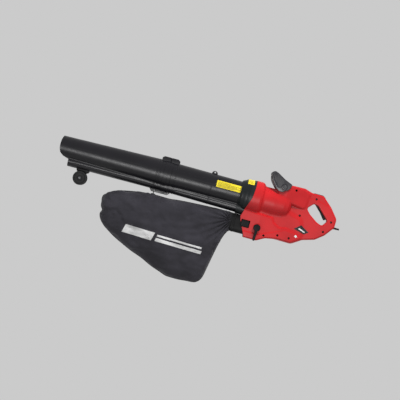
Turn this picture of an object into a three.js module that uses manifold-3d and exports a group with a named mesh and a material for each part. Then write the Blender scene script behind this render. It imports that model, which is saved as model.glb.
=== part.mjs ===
// Corded leaf blower and vacuum with its collecting bag, in millimetres, +Z up.
// Every piece is drawn in "tool" coordinates: X runs along the main tube from its mouth (x = 0) to the rear
// handle, Z is up, Y is across, and the tube, impeller and motor share the axis y = 0, z = 0.
// The whole group is then shifted so that the middle of the rear grip is the origin.
import * as THREE from "three";
import { mergeVertices } from "three/addons/utils/BufferGeometryUtils.js";
import Module from "manifold-3d";

const wasm = await Module();
wasm.setup();

// ---------------------------------------------------------------- driving dimensions
const GRIP = { x: 1165, z: 22 };            // middle of the rear grip, the part's origin
const WALL = 3;                             // moulded wall
const GAP = 0.3;                            // clearance between touching pieces
const SLIVER = 0.02;                        // edges shorter than this, left by the booleans, are closed up

const MOUTH_X = 0;                          // main tube's mouth
const BLOW_MOUTH_X = 43;                    // blow channel's mouth, set back under it
const JOINT_X = 470;                        // where the two tube halves meet
const SPIGOT = 34;                          // how far one half plugs into the other
const TUBE_END_X = 796;                     // where the rear half enters the collar
const MAIN_R = { mouth: 47.5, joint: 57.5, rear: 56, end: 52.5 };
const BLOW = { z: -53, ry: 30, rz: 23, rearZ: -55, rearRz: 27.5 };

const LATCH_BOX = { x0: 431, x1: 509, top: 72.5, halfY: 21 };
const STRAP_EYE = { x: 665, z: 54, r: 12.5, holeZ: 60, holeR: 3.4, halfY: 5 };
const HOOK_EYE = { x0: 404, x1: 500, bottom: -88, halfY: 4 };

const WHEEL = { x: 109, z: -112, r: 30, width: 14, inner: 8.5, bore: 3.3 };

const IMPELLER = { x0: 853, x1: 880, r: 62, hub: 15, vanes: 8 };
const SHAFT_R = 4;
const MOTOR = { x0: 914, x1: 966, statorR: 43, boreR: 26, armatureR: 25 };

const KNOB = { x: 896, z: -123, r: 16, tip: -180 };
const SELECTOR_SHAFT_R = 4;
const FLAP = { r: 30, halfY: 30, from: 0.7 };
const HANDLE_PIVOT = { x: 966, z: 74 };
const HANDLE = { inner: 46, outer: 54, barX: 913, barZ: 119, barR: 12 };
const TRIGGER_PIVOT = { x: 1126, z: 44 };
const SCREWS = [
  [1020, 74], [1114, 60], [1199, -20], [1176, -68], [1040, -132], [990, -132], [1062, -26], [932, -148],
];
const DRUM_R = { volute: 72.5, motor: 59, tail: 52 };

// ---------------------------------------------------------------- materials
const material = (color, roughness, metalness = 0) =>
  new THREE.MeshStandardMaterial({ color, roughness, metalness });
const RED = material(0xc8303a, 0.42);
const BLACK = material(0x1c1c1e, 0.5);
const RUBBER = material(0x17171a, 0.85);
const FABRIC = material(0x2f2e34, 0.95);
const STEEL = material(0xb9bcc0, 0.35, 1);
const IRON = material(0x6c6e73, 0.55, 1);
const COPPER = material(0xb4703c, 0.4, 1);
const ALUMINIUM = material(0xaeb2b6, 0.4, 1);
const NYLON = material(0x2a2b2e, 0.6);

// ---------------------------------------------------------------- solids
// A closed three.js geometry as a manifold solid.
function solid(geometry) {
  const bare = geometry.clone();
  bare.deleteAttribute("normal");
  bare.deleteAttribute("uv");
  const merged = mergeVertices(bare, 1e-4);
  const corners = merged.index.array;
  const kept = [];
  for (let i = 0; i < corners.length; i += 3) {
    const [a, b, c] = [corners[i], corners[i + 1], corners[i + 2]];
    if (a !== b && b !== c && c !== a) {
      kept.push(a, b, c);
    }
  }
  return new wasm.Manifold(new wasm.Mesh({
    numProp: 3,
    vertProperties: new Float32Array(merged.attributes.position.array),
    triVerts: new Uint32Array(kept),
  }));
}

const group = new THREE.Group();
group.position.set(-GRIP.x, 0, -GRIP.z);

// Adds one named piece, a manifold solid or a geometry, to the object.
function piece(name, shape, look) {
  let geometry = shape;
  if (!shape.isBufferGeometry) {
    const mesh = shape.simplify(SLIVER).getMesh();
    geometry = new THREE.BufferGeometry();
    geometry.setAttribute("position", new THREE.BufferAttribute(mesh.vertProperties, 3));
    geometry.setIndex(new THREE.BufferAttribute(mesh.triVerts, 1));
  }
  const mesh = new THREE.Mesh(geometry, look);
  mesh.name = name;
  group.add(mesh);
}

const union = (...solids) => solids.reduce((whole, next) => whole.add(next));

function box(x0, x1, y0, y1, z0, z1) {
  const geometry = new THREE.BoxGeometry(x1 - x0, y1 - y0, z1 - z0);
  geometry.translate((x0 + x1) / 2, (y0 + y1) / 2, (z0 + z1) / 2);
  return solid(geometry);
}

// A cylinder or cone along X; ry and rz stretch its section into an ellipse.
function rodX(x0, x1, r0, r1 = r0, { z = 0, y = 0, flat0 = 1, flat1 = flat0, sides = 36, zEnd = z } = {}) {
  const geometry = new THREE.CylinderGeometry(1, 1, 1, sides, 1);
  geometry.rotateZ(-Math.PI / 2);
  const p = geometry.attributes.position;
  for (let i = 0; i < p.count; i += 1) {
    const t = p.getX(i) + 0.5;
    const r = r0 + (r1 - r0) * t;
    const flat = flat0 + (flat1 - flat0) * t;
    const lift = z + (zEnd - z) * t;
    p.setXYZ(i, x0 + (x1 - x0) * t, y + p.getY(i) * r, lift + p.getZ(i) * r * flat);
  }
  return solid(geometry);
}

function rodY(x, z, r, y0, y1, sides = 20) {
  const geometry = new THREE.CylinderGeometry(r, r, y1 - y0, sides);
  geometry.translate(x, (y0 + y1) / 2, 0);
  geometry.translate(0, 0, z);
  return solid(geometry);
}

// A profile of [along, radius] points turned about an axis parallel to X or Y.
function turned(profile, axis, { x = 0, z = 0, sides = 36 } = {}) {
  const points = profile.map(([along, radius]) => new THREE.Vector2(Math.max(radius, 0), along));
  const geometry = new THREE.LatheGeometry(points, sides);
  if (axis === "x") {
    geometry.rotateZ(-Math.PI / 2);
  }
  geometry.translate(x, 0, z);
  return solid(geometry);
}

// Moves every edge of a closed outline of [x, z, radius] corners inwards by a distance.
function inset(corners, distance) {
  const count = corners.length;
  let area = 0;
  for (let i = 0; i < count; i += 1) {
    const [ax, az] = corners[i];
    const [bx, bz] = corners[(i + 1) % count];
    area += ax * bz - bx * az;
  }
  const inward = Math.sign(area);
  const edges = corners.map(([ax, az], i) => {
    const [bx, bz] = corners[(i + 1) % count];
    const length = Math.hypot(bx - ax, bz - az);
    const dx = (bx - ax) / length;
    const dz = (bz - az) / length;
    return { x: ax - dz * inward * distance, z: az + dx * inward * distance, dx, dz };
  });
  return corners.map(([, , radius = 0], i) => {
    const before = edges[(i + count - 1) % count];
    const after = edges[i];
    const cross = before.dx * after.dz - before.dz * after.dx;
    const t = ((after.x - before.x) * after.dz - (after.z - before.z) * after.dx) / cross;
    const convex = cross * inward > 0;
    const newRadius = Math.max(radius + (convex ? -distance : distance), 0.5);
    return [before.x + before.dx * t, before.z + before.dz * t, radius === 0 ? 0 : newRadius];
  });
}

// A closed outline of [x, z, radius] corners as a shape, each corner rounded by its radius.
function rounded(corners, steps = 3) {
  const points = [];
  const count = corners.length;
  corners.forEach(([x, z, radius = 0], i) => {
    const [px, pz] = corners[(i + count - 1) % count];
    const [nx, nz] = corners[(i + 1) % count];
    const into = new THREE.Vector2(px - x, pz - z).normalize();
    const out = new THREE.Vector2(nx - x, nz - z).normalize();
    const halfAngle = Math.acos(THREE.MathUtils.clamp(into.dot(out), -1, 1)) / 2;
    const reach = Math.min(radius / Math.tan(halfAngle), 0.49 * Math.hypot(px - x, pz - z),
      0.49 * Math.hypot(nx - x, nz - z));
    if (radius === 0) {
      points.push(new THREE.Vector2(x, z));
      return;
    }
    const start = new THREE.Vector2(x, z).addScaledVector(into, reach);
    const end = new THREE.Vector2(x, z).addScaledVector(out, reach);
    const curve = new THREE.QuadraticBezierCurve(start, new THREE.Vector2(x, z), end);
    points.push(...curve.getPoints(steps));
  });
  const distinct = points.filter((p, i) => p.distanceTo(points[(i + 1) % points.length]) > 0.02);
  return new THREE.Shape(distinct);
}

// A slab across Y between y0 and y1 with an outline in the XZ plane; bevel rounds its two long edges.
function slab(shape, y0, y1, bevel = 0, taper = null) {
  const geometry = new THREE.ExtrudeGeometry(shape, {
    depth: y1 - y0 - 2 * bevel,
    bevelEnabled: bevel > 0,
    bevelThickness: bevel,
    bevelSize: bevel,
    bevelOffset: -bevel,
    bevelSegments: 1,
    steps: 1,
  });
  geometry.rotateX(Math.PI / 2);
  geometry.translate(0, y1 - bevel, 0);
  if (taper) {
    const p = geometry.attributes.position;
    for (let i = 0; i < p.count; i += 1) {
      p.setY(i, p.getY(i) * taper(p.getX(i)));
    }
  }
  return solid(geometry);
}

// Rings of points joined into one closed solid.
function loft(rings) {
  const count = rings[0].length;
  const vertices = rings.flat(2);
  const index = [];
  for (let r = 0; r + 1 < rings.length; r += 1) {
    for (let i = 0; i < count; i += 1) {
      const a = r * count + i;
      const b = r * count + (i + 1) % count;
      index.push(a, b, b + count, a, b + count, a + count);
    }
  }
  for (let i = 1; i + 1 < count; i += 1) {
    index.push(0, i + 1, i);
    const last = (rings.length - 1) * count;
    index.push(last, last + i, last + i + 1);
  }
  const geometry = new THREE.BufferGeometry();
  geometry.setAttribute("position", new THREE.BufferAttribute(new Float32Array(vertices), 3));
  geometry.setIndex(index);
  return solid(geometry);
}

// ---------------------------------------------------------------- tubes
// Radii of the two channels at a place along the tube.
function channelAt(x) {
  const onFront = x <= JOINT_X;
  const t = onFront
    ? THREE.MathUtils.clamp((x - MOUTH_X) / (JOINT_X - MOUTH_X), 0, 1)
    : THREE.MathUtils.clamp((x - JOINT_X) / (TUBE_END_X - JOINT_X), 0, 1);
  const { lerp } = THREE.MathUtils;
  return {
    main: onFront ? lerp(MAIN_R.mouth, MAIN_R.joint, t) : lerp(MAIN_R.rear, MAIN_R.end, t),
    blowZ: onFront ? BLOW.z : lerp(BLOW.z, BLOW.rearZ, t),
    blowRz: onFront ? BLOW.rz : lerp(BLOW.rz, BLOW.rearRz, t),
  };
}

function mainChannel(x0, x1, grow) {
  return rodX(x0, x1, channelAt(x0 + 0.01).main + grow, channelAt(x1).main + grow, { sides: 36 });
}

function blowChannel(x0, x1, grow, sides = 24) {
  const a = channelAt(x0 + 0.01);
  const b = channelAt(x1);
  const ry = BLOW.ry + grow;
  return rodX(x0, x1, ry, ry, {
    z: a.blowZ, zEnd: b.blowZ, flat0: (a.blowRz + grow) / ry, flat1: (b.blowRz + grow) / ry, sides,
  });
}

// Outer body of both channels; grow moves the whole skin out or in.
const tubeSkin = (x0, x1, grow = 0) => mainChannel(x0, x1, grow).add(blowChannel(x0, x1, grow));

// Both bores, with the main tube's lower wall left between them.
function tubeBores(x0, x1, shrink = WALL) {
  return mainChannel(x0, x1, -shrink).add(
    blowChannel(x0, x1, -shrink, 20).subtract(mainChannel(x0, x1, -shrink + WALL)));
}

function frontTube() {
  const mouthCut = new THREE.Shape();
  mouthCut.moveTo(-60, 80);
  mouthCut.lineTo(-1, 80);
  mouthCut.lineTo(-1, 46);
  mouthCut.bezierCurveTo(-9, 12, -7, -30, 40, -45);
  mouthCut.lineTo(BLOW_MOUTH_X, -46);
  mouthCut.lineTo(BLOW_MOUTH_X, -100);
  mouthCut.lineTo(-60, -100);
  const socketX = JOINT_X - SPIGOT;
  const { x0, top, halfY } = LATCH_BOX;
  let tube = tubeSkin(-15, JOINT_X)
    .add(box(x0, JOINT_X, -halfY, halfY, 40, top))
    .subtract(tubeBores(-20, socketX))
    .subtract(tubeSkin(socketX, JOINT_X + 5, -WALL / 2 + GAP))
    .subtract(slab(mouthCut, -80, 80));
  // Window for the latch button, and the pocket under it for its tongue.
  tube = tube.subtract(box(444, 464, -9, 9, 45, top + 5));
  // Webs under the socket: the bag hook's eye plate.
  const eye = rounded([[HOOK_EYE.x0, -70, 0], [HOOK_EYE.x0 + 14, HOOK_EYE.bottom, 6],
    [JOINT_X, HOOK_EYE.bottom, 0], [JOINT_X, -70, 0]]);
  tube = tube.add(slab(eye, -HOOK_EYE.halfY, HOOK_EYE.halfY)
    .subtract(rodY(430, -82, 2.6, -10, 10, 12)));
  return tube.subtract(tubeSkin(socketX, JOINT_X + 5, -WALL / 2 + GAP));
}

function rearTube() {
  const { x1, top, halfY } = LATCH_BOX;
  const spigotX = JOINT_X - SPIGOT + 1;
  const start = JOINT_X + GAP;
  const spigot = tubeSkin(spigotX, start + 0.5, -WALL / 2 - 0.1)
    .subtract(box(444, 464, -10, 10, 30, top));
  const eye = rodY(STRAP_EYE.x, STRAP_EYE.z, STRAP_EYE.r, -STRAP_EYE.halfY, STRAP_EYE.halfY, 24);
  const tail = rounded([[start, -70, 0], [start, HOOK_EYE.bottom, 0], [488, HOOK_EYE.bottom, 5],
    [HOOK_EYE.x1 + 6, -70, 0]]);
  return union(tubeSkin(start, TUBE_END_X), spigot, eye,
    box(start, x1, -halfY, halfY, 40, top), slab(tail, -HOOK_EYE.halfY, HOOK_EYE.halfY))
    .add(tubeSkin(TUBE_END_X - 0.5, TUBE_END_X + 20, -WALL / 2 - 0.1))
    .subtract(tubeBores(spigotX - 2, start, WALL + 1))
    .subtract(tubeBores(start - 0.01, TUBE_END_X + 30, WALL + 1))
    .subtract(rodY(STRAP_EYE.x, STRAP_EYE.holeZ, STRAP_EYE.holeR, -20, 20, 12));
}

// Push button of the tube lock: the head shows in the window and its foot rides on the spigot.
function tubeLatch() {
  return box(445, 463, -8.2, 8.2, 58.4, 71.5).add(box(447, 461, -6.5, 6.5, 56.6, 58.5));
}

// ---------------------------------------------------------------- nozzle wheels
function wheelBracket() {
  const outline = rounded([[86, -70, 0], [86, -82, 4], [98, -96, 6], [98, -121, 8], [120, -121, 8],
    [120, -96, 6], [141, -82, 4], [141, -70, 0]]);
  return slab(outline, -7.5, 7.5)
    .add(box(86, 141, -16, 16, -80.5, -62))
    .subtract(tubeSkin(60, 180, GAP))
    .subtract(rodY(WHEEL.x, WHEEL.z, WHEEL.bore, -20, 20, 16));
}

const wheelAxle = () => turned([[-25.5, 0], [-25.5, 5], [-23.5, 5], [-23.5, 2.9], [23.5, 2.9], [23.5, 5],
  [25.5, 5], [25.5, 0]], "y", { x: WHEEL.x, z: WHEEL.z, sides: 12 });

function wheel(side) {
  const { inner, width, r, bore } = WHEEL;
  const outer = inner + width;
  const profile = [[inner, bore], [inner, 9], [inner + 3, 11], [inner + 3, r - 8], [inner, r - 5],
    [inner, r - 1.5], [inner + 1.5, r], [outer - 1.5, r], [outer, r - 1.5], [outer, r - 5],
    [outer - 3, r - 8], [outer - 3, 11], [outer, 9], [outer, bore], [inner, bore]];
  const points = profile.map(([along, radius]) => [along * side, radius]);
  return turned(side > 0 ? points : points.reverse(), "y", { x: WHEEL.x, z: WHEEL.z, sides: 24 });
}

// ---------------------------------------------------------------- body outlines
// The line where the red housing meets the collar and the bag adapter, from top to bottom.
const FRONT_LINE = [[851, 90], [849, 30], [844, -8], [828, -52], [816, -92], [820, -108], [848, -168], [852, -200]];
const PLATE = [[940, 30, 0], [965, 54, 0], [984, 67, 6], [1001, 90, 10], [1058, 91, 14], [1090, 82, 20],
  [1142, 81, 12], [1184, 43, 40], [1220, -2, 24], [1219, -40, 16], [1186, -82, 25], [1150, -110, 30],
  [1098, -125, 40], [1055, -151, 26], [984, -150, 40], [940, -130, 0]];
const GRIP_HOLE = [[1084, 12, 12], [1110, 39, 14], [1130, 33, 10], [1184, -20, 12], [1166, -45, 14], [1140, -35, 20],
  [1104, -10, 20]];
const LOWER = [[800, -30, 0], [800, -177, 0], [906, -177, 16], [942, -158, 20], [990, -149, 40],
  [1052, -151, 24], [1100, -120, 30], [1075, -40, 30], [1000, -20, 0]];
const HUMP = [[944, 20, 0], [948, 80, 12], [968, 89, 12], [984, 82, 6], [1001, 90, 10], [1058, 91, 14], [1088, 76, 12],
  [1080, 0, 20]];

function behindFront(gap) {
  const shape = new THREE.Shape(FRONT_LINE.map(([x, z]) => new THREE.Vector2(x + gap, z)));
  shape.lineTo(1400, -260);
  shape.lineTo(1400, 160);
  return slab(shape, -150, 150);
}

const drumProfile = (shrink) => [[780, 0], [780, 70 - shrink], [850, DRUM_R.volute - shrink],
  [881, DRUM_R.volute - 1 - shrink], [892 - shrink, DRUM_R.motor + 3 - shrink], [896 - shrink, DRUM_R.motor - shrink],
  [940, DRUM_R.motor - shrink], [985, DRUM_R.tail + 2 - shrink], [1012 - shrink, DRUM_R.tail - 10 - shrink],
  [1016 - shrink, 0]];
const lowerTaper = (x) => THREE.MathUtils.clamp(1 - (x - 900) / 190 * 0.42, 0.55, 1);
const humpTaper = (x) => THREE.MathUtils.clamp(1 - (x - 985) / 105 * 0.5, 0.5, 1);

// The housing's outer body, or with shrink its cavity.
function bodyForm(shrink) {
  const cut = (corners) => rounded(shrink === 0 ? corners : inset(corners, shrink), shrink > 0 ? 2 : 3);
  const bevel = shrink > 0 ? 6 : 9;
  const plateHalf = 21 - shrink;
  const lowerHalf = 46 - shrink;
  const humpHalf = 45.5 - shrink;
  return union(turned(drumProfile(shrink), "x", { sides: shrink > 0 ? 24 : 32 }),
    slab(cut(PLATE), -plateHalf, plateHalf, bevel - 1),
    slab(cut(LOWER), -lowerHalf, lowerHalf, bevel, lowerTaper),
    slab(cut(HUMP), -humpHalf, humpHalf, bevel, humpTaper))
    .subtract(slab(rounded(inset(GRIP_HOLE, -shrink)), -80, 80));
}

// Wells and bosses for the screws that join the two halves.
const SCREW = { boss: 6, well: 4.8, seat: -8, shank: 2.3, head: 4.3, tip: 15 };

// Trigger slot through the grip's inner wall.
function triggerSlot() {
  return slab(rounded([[1108, 44, 2], [1126, 58, 2], [1196, -8, 2], [1176, -28, 2]]), -11.5, 11.5);
}

function housingHalf(side) {
  const outer = bodyForm(0);
  const half = side < 0 ? box(700, 1400, -200, -GAP / 2, -300, 200) : box(700, 1400, GAP / 2, 200, -300, 200);
  let shell = outer.subtract(bodyForm(WALL)).intersect(behindFront(GAP)).intersect(half);
  const grow = outer.intersect(half);
  SCREWS.forEach(([x, z]) => {
    const boss = rodY(x, z, SCREW.boss, side < 0 ? -60 : 0, side < 0 ? 0 : 60, 10).intersect(grow);
    shell = shell.add(boss);
  });
  SCREWS.forEach(([x, z]) => {
    shell = shell.subtract(rodY(x, z, SCREW.shank, -30, SCREW.tip + 1, 8));
    if (side < 0) {
      shell = shell.subtract(rodY(x, z, SCREW.well, -80, SCREW.seat, 10));
    }
  });
  shell = shell.subtract(triggerSlot());
  // Cord entry, selector shaft and latch windows.
  shell = shell.subtract(rodX(1195, 1240, 5.6, 5.6, { z: -41, sides: 16 }));
  if (side < 0) {
    shell = shell.subtract(rodY(KNOB.x, KNOB.z, SELECTOR_SHAFT_R + 1, -80, 0, 16));
  }
  shell = shell.subtract(box(824, 863, side < 0 ? -60 : 36, side < 0 ? -36 : 60, -134, -102));
  // Handle pivot hole through the hump.
  shell = shell.subtract(rodY(HANDLE_PIVOT.x, HANDLE_PIVOT.z, 4.4, -80, 80, 14));
  // Motor air slots in the right side of the tail.
  if (side > 0) {
    for (let i = 0; i < 5; i += 1) {
      const x = 1030 + i * 9;
      shell = shell.subtract(box(x, x + 4, 22, 60, 30, 62));
    }
  }
  return shell;
}

// ---------------------------------------------------------------- collar
function collar() {
  const flare = turned([[790, 0], [790, 57], [796, 60], [812, 69], [822, 71], [856, 71], [856, 0]], "x", { sides: 32 });
  const lower = rodX(790, 856, 34, 38, { z: -56, zEnd: -58, flat0: 0.92, flat1: 0.98, sides: 24 });
  const front = behindFront(0);
  const keep = box(780, 870, -80, 80, -86.3, 75).subtract(front);
  const socket = tubeSkin(TUBE_END_X, TUBE_END_X + 21, -WALL / 2 + GAP);
  const mouth = tubeSkin(TUBE_END_X - 10, TUBE_END_X, GAP);
  return union(flare, lower).intersect(keep)
    .subtract(mouth).subtract(socket)
    .subtract(rodX(TUBE_END_X + 20, 870, 46, 44, { sides: 36 }))
    .subtract(rodX(TUBE_END_X + 20, 870, 26, 26, { z: -62, flat0: 0.4, sides: 20 }));
}

// ---------------------------------------------------------------- fan and motor
function impeller() {
  const { x0, x1, r, hub, vanes } = IMPELLER;
  let wheelBody = turned([[x0, SHAFT_R + 0.2], [x0, hub], [x1 - 4, hub + 3], [x1 - 4, r], [x1, r],
    [x1, SHAFT_R + 0.2], [x0, SHAFT_R + 0.2]], "x", { sides: 28 });
  // Backward-swept vanes, each lofted from its edge on the back plate to its edge at the inlet.
  const steps = 3;
  const innerR = hub - 2;
  const outerR = r - 1.2;
  const face = (x, i) => {
    const edge = (thick) => Array.from({ length: steps + 1 }, (_, k) => {
      const t = k / steps;
      const radius = innerR + (outerR - innerR) * t;
      const angle = ((i + 0.3) / vanes) * 2 * Math.PI - 0.5 * t * t + thick / radius;
      return [x, radius * Math.cos(angle), radius * Math.sin(angle)];
    });
    return [...edge(-1), ...edge(1).reverse()];
  };
  for (let i = 0; i < vanes; i += 1) {
    wheelBody = wheelBody.add(loft([face(x0 + 2, i), face(x1 - 2.5, i)]));
  }
  return wheelBody;
}

function shredderBlade() {
  const blade = rounded([[-32, -7, 3], [-32, 7, 3], [32, 7, 3], [32, -7, 3]]);
  const geometry = new THREE.ExtrudeGeometry(blade, { depth: 2, bevelEnabled: false });
  geometry.rotateY(Math.PI / 2);
  geometry.translate(IMPELLER.x0 - 2.6, 0, 0);
  return solid(geometry).subtract(rodX(840, 870, SHAFT_R + 0.3, SHAFT_R + 0.3, { sides: 16 }));
}

const impellerNut = () => rodX(842.5, 849.8, 7, 7, { sides: 6 })
  .subtract(rodX(840, 855, SHAFT_R + 0.2, SHAFT_R + 0.2, { sides: 18 }));

const motorShaft = () => turned([[841, 0], [841, SHAFT_R - 0.5], [842, SHAFT_R], [1003, SHAFT_R],
  [1003, 0]], "x", { sides: 18 });

const ringX = (x0, x1, bore, radius, sides = 18) => turned([[x0, bore], [x0, radius], [x1, radius],
  [x1, bore], [x0, bore]], "x", { sides });

function statorCore() {
  const { x0, x1, statorR, boreR } = MOTOR;
  const outer = rodX(x0, x1, statorR, statorR, { sides: 32 }).intersect(box(x0 - 1, x1 + 1, -38, 38, -60, 60));
  const slots = union(box(x0 - 5, x1 + 5, -33, -18, -14, 14), box(x0 - 5, x1 + 5, 18, 33, -14, 14));
  return outer.subtract(rodX(x0 - 5, x1 + 5, boreR, boreR, { sides: 28 })).subtract(slots);
}

function fieldCoil(side) {
  const { x0, x1 } = MOTOR;
  const y0 = side * 24.5;
  const y1 = side * 32.5;
  const coil = box(x0 - 4, x1 + 4, Math.min(y0, y1), Math.max(y0, y1), -13.5, 13.5);
  return coil.subtract(rodX(x0 - 10, x1 + 10, MOTOR.boreR + 0.4, MOTOR.boreR + 0.4, { sides: 28 }));
}

const brushHolder = (side) => box(970, 982, side > 0 ? 15.2 : -32, side > 0 ? 32 : -15.2, -5, 5);

// A plate across the motor drum with a seat for a bearing.
function endShield(x0, x1, radius, bearingR) {
  const plate = ringX(x0, x1, bearingR + GAP, radius, 26);
  const windows = [0, 1, 2, 3].map((i) => {
    const angle = Math.PI / 4 + i * Math.PI / 2;
    return rodX(x0 - 5, x1 + 5, radius * 0.2, radius * 0.2,
      { y: Math.cos(angle) * radius * 0.62, z: Math.sin(angle) * radius * 0.62, sides: 8 });
  });
  return plate.subtract(union(...windows));
}

// ---------------------------------------------------------------- controls
function selectorKnob() {
  const disc = turned([[-63, 0], [-63, KNOB.r - 2], [-61, KNOB.r], [-50, KNOB.r], [-50, 0]], "y",
    { x: KNOB.x, z: KNOB.z, sides: 28 });
  const lever = slab(rounded([[KNOB.x - 7, KNOB.z, 0], [KNOB.x - 7, KNOB.tip, 5], [KNOB.x + 4, KNOB.tip, 5],
    [KNOB.x + 8, KNOB.z, 0]]), -62, -53, 1.5);
  return disc.add(lever).subtract(rodY(KNOB.x, KNOB.z, SELECTOR_SHAFT_R + 0.1, -56, -40, 16));
}

const selectorShaft = () => turned([[-55.7, 0], [-55.7, SELECTOR_SHAFT_R], [34, SELECTOR_SHAFT_R], [34, 0]],
  "y", { x: KNOB.x, z: KNOB.z, sides: 18 });

// Barrel valve on the selector's shaft: a curved shutter carried by two cheeks.
function diverterFlap() {
  const { x, z } = KNOB;
  const shutter = rodY(x, z, FLAP.r, -FLAP.halfY, FLAP.halfY, 28)
    .subtract(rodY(x, z, FLAP.r - WALL, -FLAP.halfY + 2.5, FLAP.halfY - 2.5, 28));
  const reach = FLAP.r * 2;
  const wedge = slab(new THREE.Shape([
    new THREE.Vector2(x - 4, z - 10),
    new THREE.Vector2(x + 4, z - 10),
    new THREE.Vector2(x + reach * Math.cos(FLAP.from), z + reach * Math.sin(FLAP.from)),
    new THREE.Vector2(x, z + reach * 1.4),
    new THREE.Vector2(x - reach * Math.cos(FLAP.from), z + reach * Math.sin(FLAP.from)),
  ]), -50, 50);
  return shutter.intersect(wedge)
    .add(rodY(x, z, 8, -FLAP.halfY, FLAP.halfY, 16))
    .subtract(rodY(x, z, SELECTOR_SHAFT_R + 0.2, -50, 50, 18));
}

function trigger() {
  const outline = rounded([[1112, 41, 3], [1144, 9, 50], [1167, -20, 4], [1184, -7, 3], [1130, 50, 4]]);
  return slab(outline, -10, 10, 1).subtract(rodY(TRIGGER_PIVOT.x, TRIGGER_PIVOT.z, 2.3, -20, 20, 12));
}

const triggerPin = () => rodY(TRIGGER_PIVOT.x, TRIGGER_PIVOT.z, 2, -17, 17, 12);

function triggerSwitch() {
  return slab(rounded([[1147, 40, 1], [1158, 50, 1], [1181, 26, 1], [1170, 16, 1]]), -8, 8);
}

// Screw that joins the housing halves, its head sunk in a well on the left.
const housingScrew = (x, z) => turned([[SCREW.seat - 3, 0], [SCREW.seat - 3, 3], [SCREW.seat - 2.2, SCREW.head],
  [SCREW.seat - 0.3, SCREW.head], [SCREW.seat - 0.3, 2], [SCREW.tip - 1, 2], [SCREW.tip, 1.2], [SCREW.tip, 0]],
  "y", { x, z, sides: 8 });

// Tapered rubber boot round the cord's entry, with a groove that the housing wall holds.
const strainRelief = () => turned([[1204, 3.2], [1204, 7], [1207, 7], [1207, 5.2], [1222, 5.2], [1240, 3.9],
  [1242, 3.6], [1242, 3.2], [1204, 3.2]], "x", { z: -41, sides: 18 });

// Soft pad let into the top of the handle.
const gripPad = () => slab(rounded([[1097, 79, 1], [1100, 83, 2], [1140, 82.4, 3], [1152, 74, 2], [1148, 71, 1],
  [1138, 78.4, 3]]), -11, 11, 0.6).subtract(bodyForm(-GAP));

// ---------------------------------------------------------------- auxiliary handle
// One wide curved leg, from the pivot up to the cross grip.
const LEG = [[931, 62, 30], [948, 51, 14], [964, 52, 14], [990, 70, 14], [998, 91, 8], [962, 106, 60], [926, 127, 8],
  [908, 132, 8], [903, 112, 14], [911, 88, 40]];

function auxHandle() {
  const leg = (y0, y1) => slab(rounded(LEG), y0, y1, 2);
  const bar = rodY(HANDLE.barX, HANDLE.barZ, HANDLE.barR, -HANDLE.inner - 1, HANDLE.inner + 1, 24);
  return union(leg(-HANDLE.outer, -HANDLE.inner), leg(HANDLE.inner, HANDLE.outer), bar)
    .subtract(rodY(HANDLE_PIVOT.x, HANDLE_PIVOT.z, 4.4, -80, 80, 14));
}

const handleBolt = () => turned([[-45.5, 0], [-45.5, 4], [45.5, 4], [45.5, 0]], "y",
  { x: HANDLE_PIVOT.x, z: HANDLE_PIVOT.z, sides: 14 });

function handleKnob(side) {
  const points = [[HANDLE.inner, 0], [HANDLE.inner, 3.8], [HANDLE.outer + 0.4, 3.8], [HANDLE.outer + 0.4, 13],
    [HANDLE.outer + 2, 14], [HANDLE.outer + 9, 12.5], [HANDLE.outer + 11, 10], [HANDLE.outer + 11, 0]]
    .map(([along, radius]) => [along * side, radius]);
  return turned(side > 0 ? points : points.reverse(), "y", { x: HANDLE_PIVOT.x, z: HANDLE_PIVOT.z, sides: 16 });
}

// ---------------------------------------------------------------- bag
// A tube of rounded-rectangle section along X, for the bag's plastic adapter.
function roundedTube(x0, x1, halfY0, halfY1, top, bottom, radius) {
  const ring = (x, halfY) => rounded([[-halfY, bottom, radius], [halfY, bottom, radius], [halfY, top, radius],
    [-halfY, top, radius]]).getPoints().map((p) => [x, p.x, p.y]);
  return loft([ring(x0, halfY0), ring(x1, halfY1)]);
}

function bagAdapter() {
  const outer = roundedTube(786, 846, 33, 38, -87, -166, 22);
  const spigot = roundedTube(812, 862, 31, 31, -93, -160, 18);
  const bore = roundedTube(780, 880, 28, 28, -96, -157, 16);
  return outer.subtract(behindFront(-0.6)).add(spigot).subtract(bore)
    .subtract(box(823, 864, -60, -35.4, -135, -101)).subtract(box(823, 864, 35.4, 60, -135, -101));
}

function bagLatch(side) {
  const outline = rounded([[825.5, -104, 6], [861, -104, 6], [861, -132, 6], [825.5, -132, 6]]);
  return side < 0 ? slab(outline, -49, -39, 2) : slab(outline, 39, 49, 2);
}

const BAG_CLOTH = 2.5;
const BAG = [[226, -160, -176, 6], [232, -152, -240, 26], [246, -142, -268, 42], [272, -128, -287, 56],
  [320, -116, -316, 68], [380, -107, -347, 75], [450, -102, -374, 78], [520, -100, -403, 78], [580, -96, -423, 74],
  [640, -92, -424, 66], [690, -89, -420, 56], [716, -88, -406, 48], [735, -88, -345, 44], [752, -88, -256, 40],
  [768, -88, -196, 36], [785.7, -88, -166, 34]];

// The bag's skin as a loft of rounded sections; shrink moves it inwards.
function bagForm(shrink, sides) {
  const fullness = 0.8;
  const last = BAG.length - 1;
  return loft(BAG.map(([x, top, bottom, half], r) => {
    const along = x + (r === 0 ? shrink : 0) + (r === last ? shrink : 0);
    return Array.from({ length: sides }, (_, i) => {
      const angle = (i / sides) * 2 * Math.PI;
      const c = Math.cos(angle);
      const s = Math.sin(angle);
      const y = (half - shrink) * Math.sign(c) * Math.abs(c) ** fullness;
      const tall = (top - bottom) / 2 - shrink;
      return [along, y, (top + bottom) / 2 + tall * Math.sign(s) * Math.abs(s) ** fullness];
    });
  }));
}

const bagBody = () => bagForm(0, 20).subtract(bagForm(BAG_CLOTH, 16));

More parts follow.
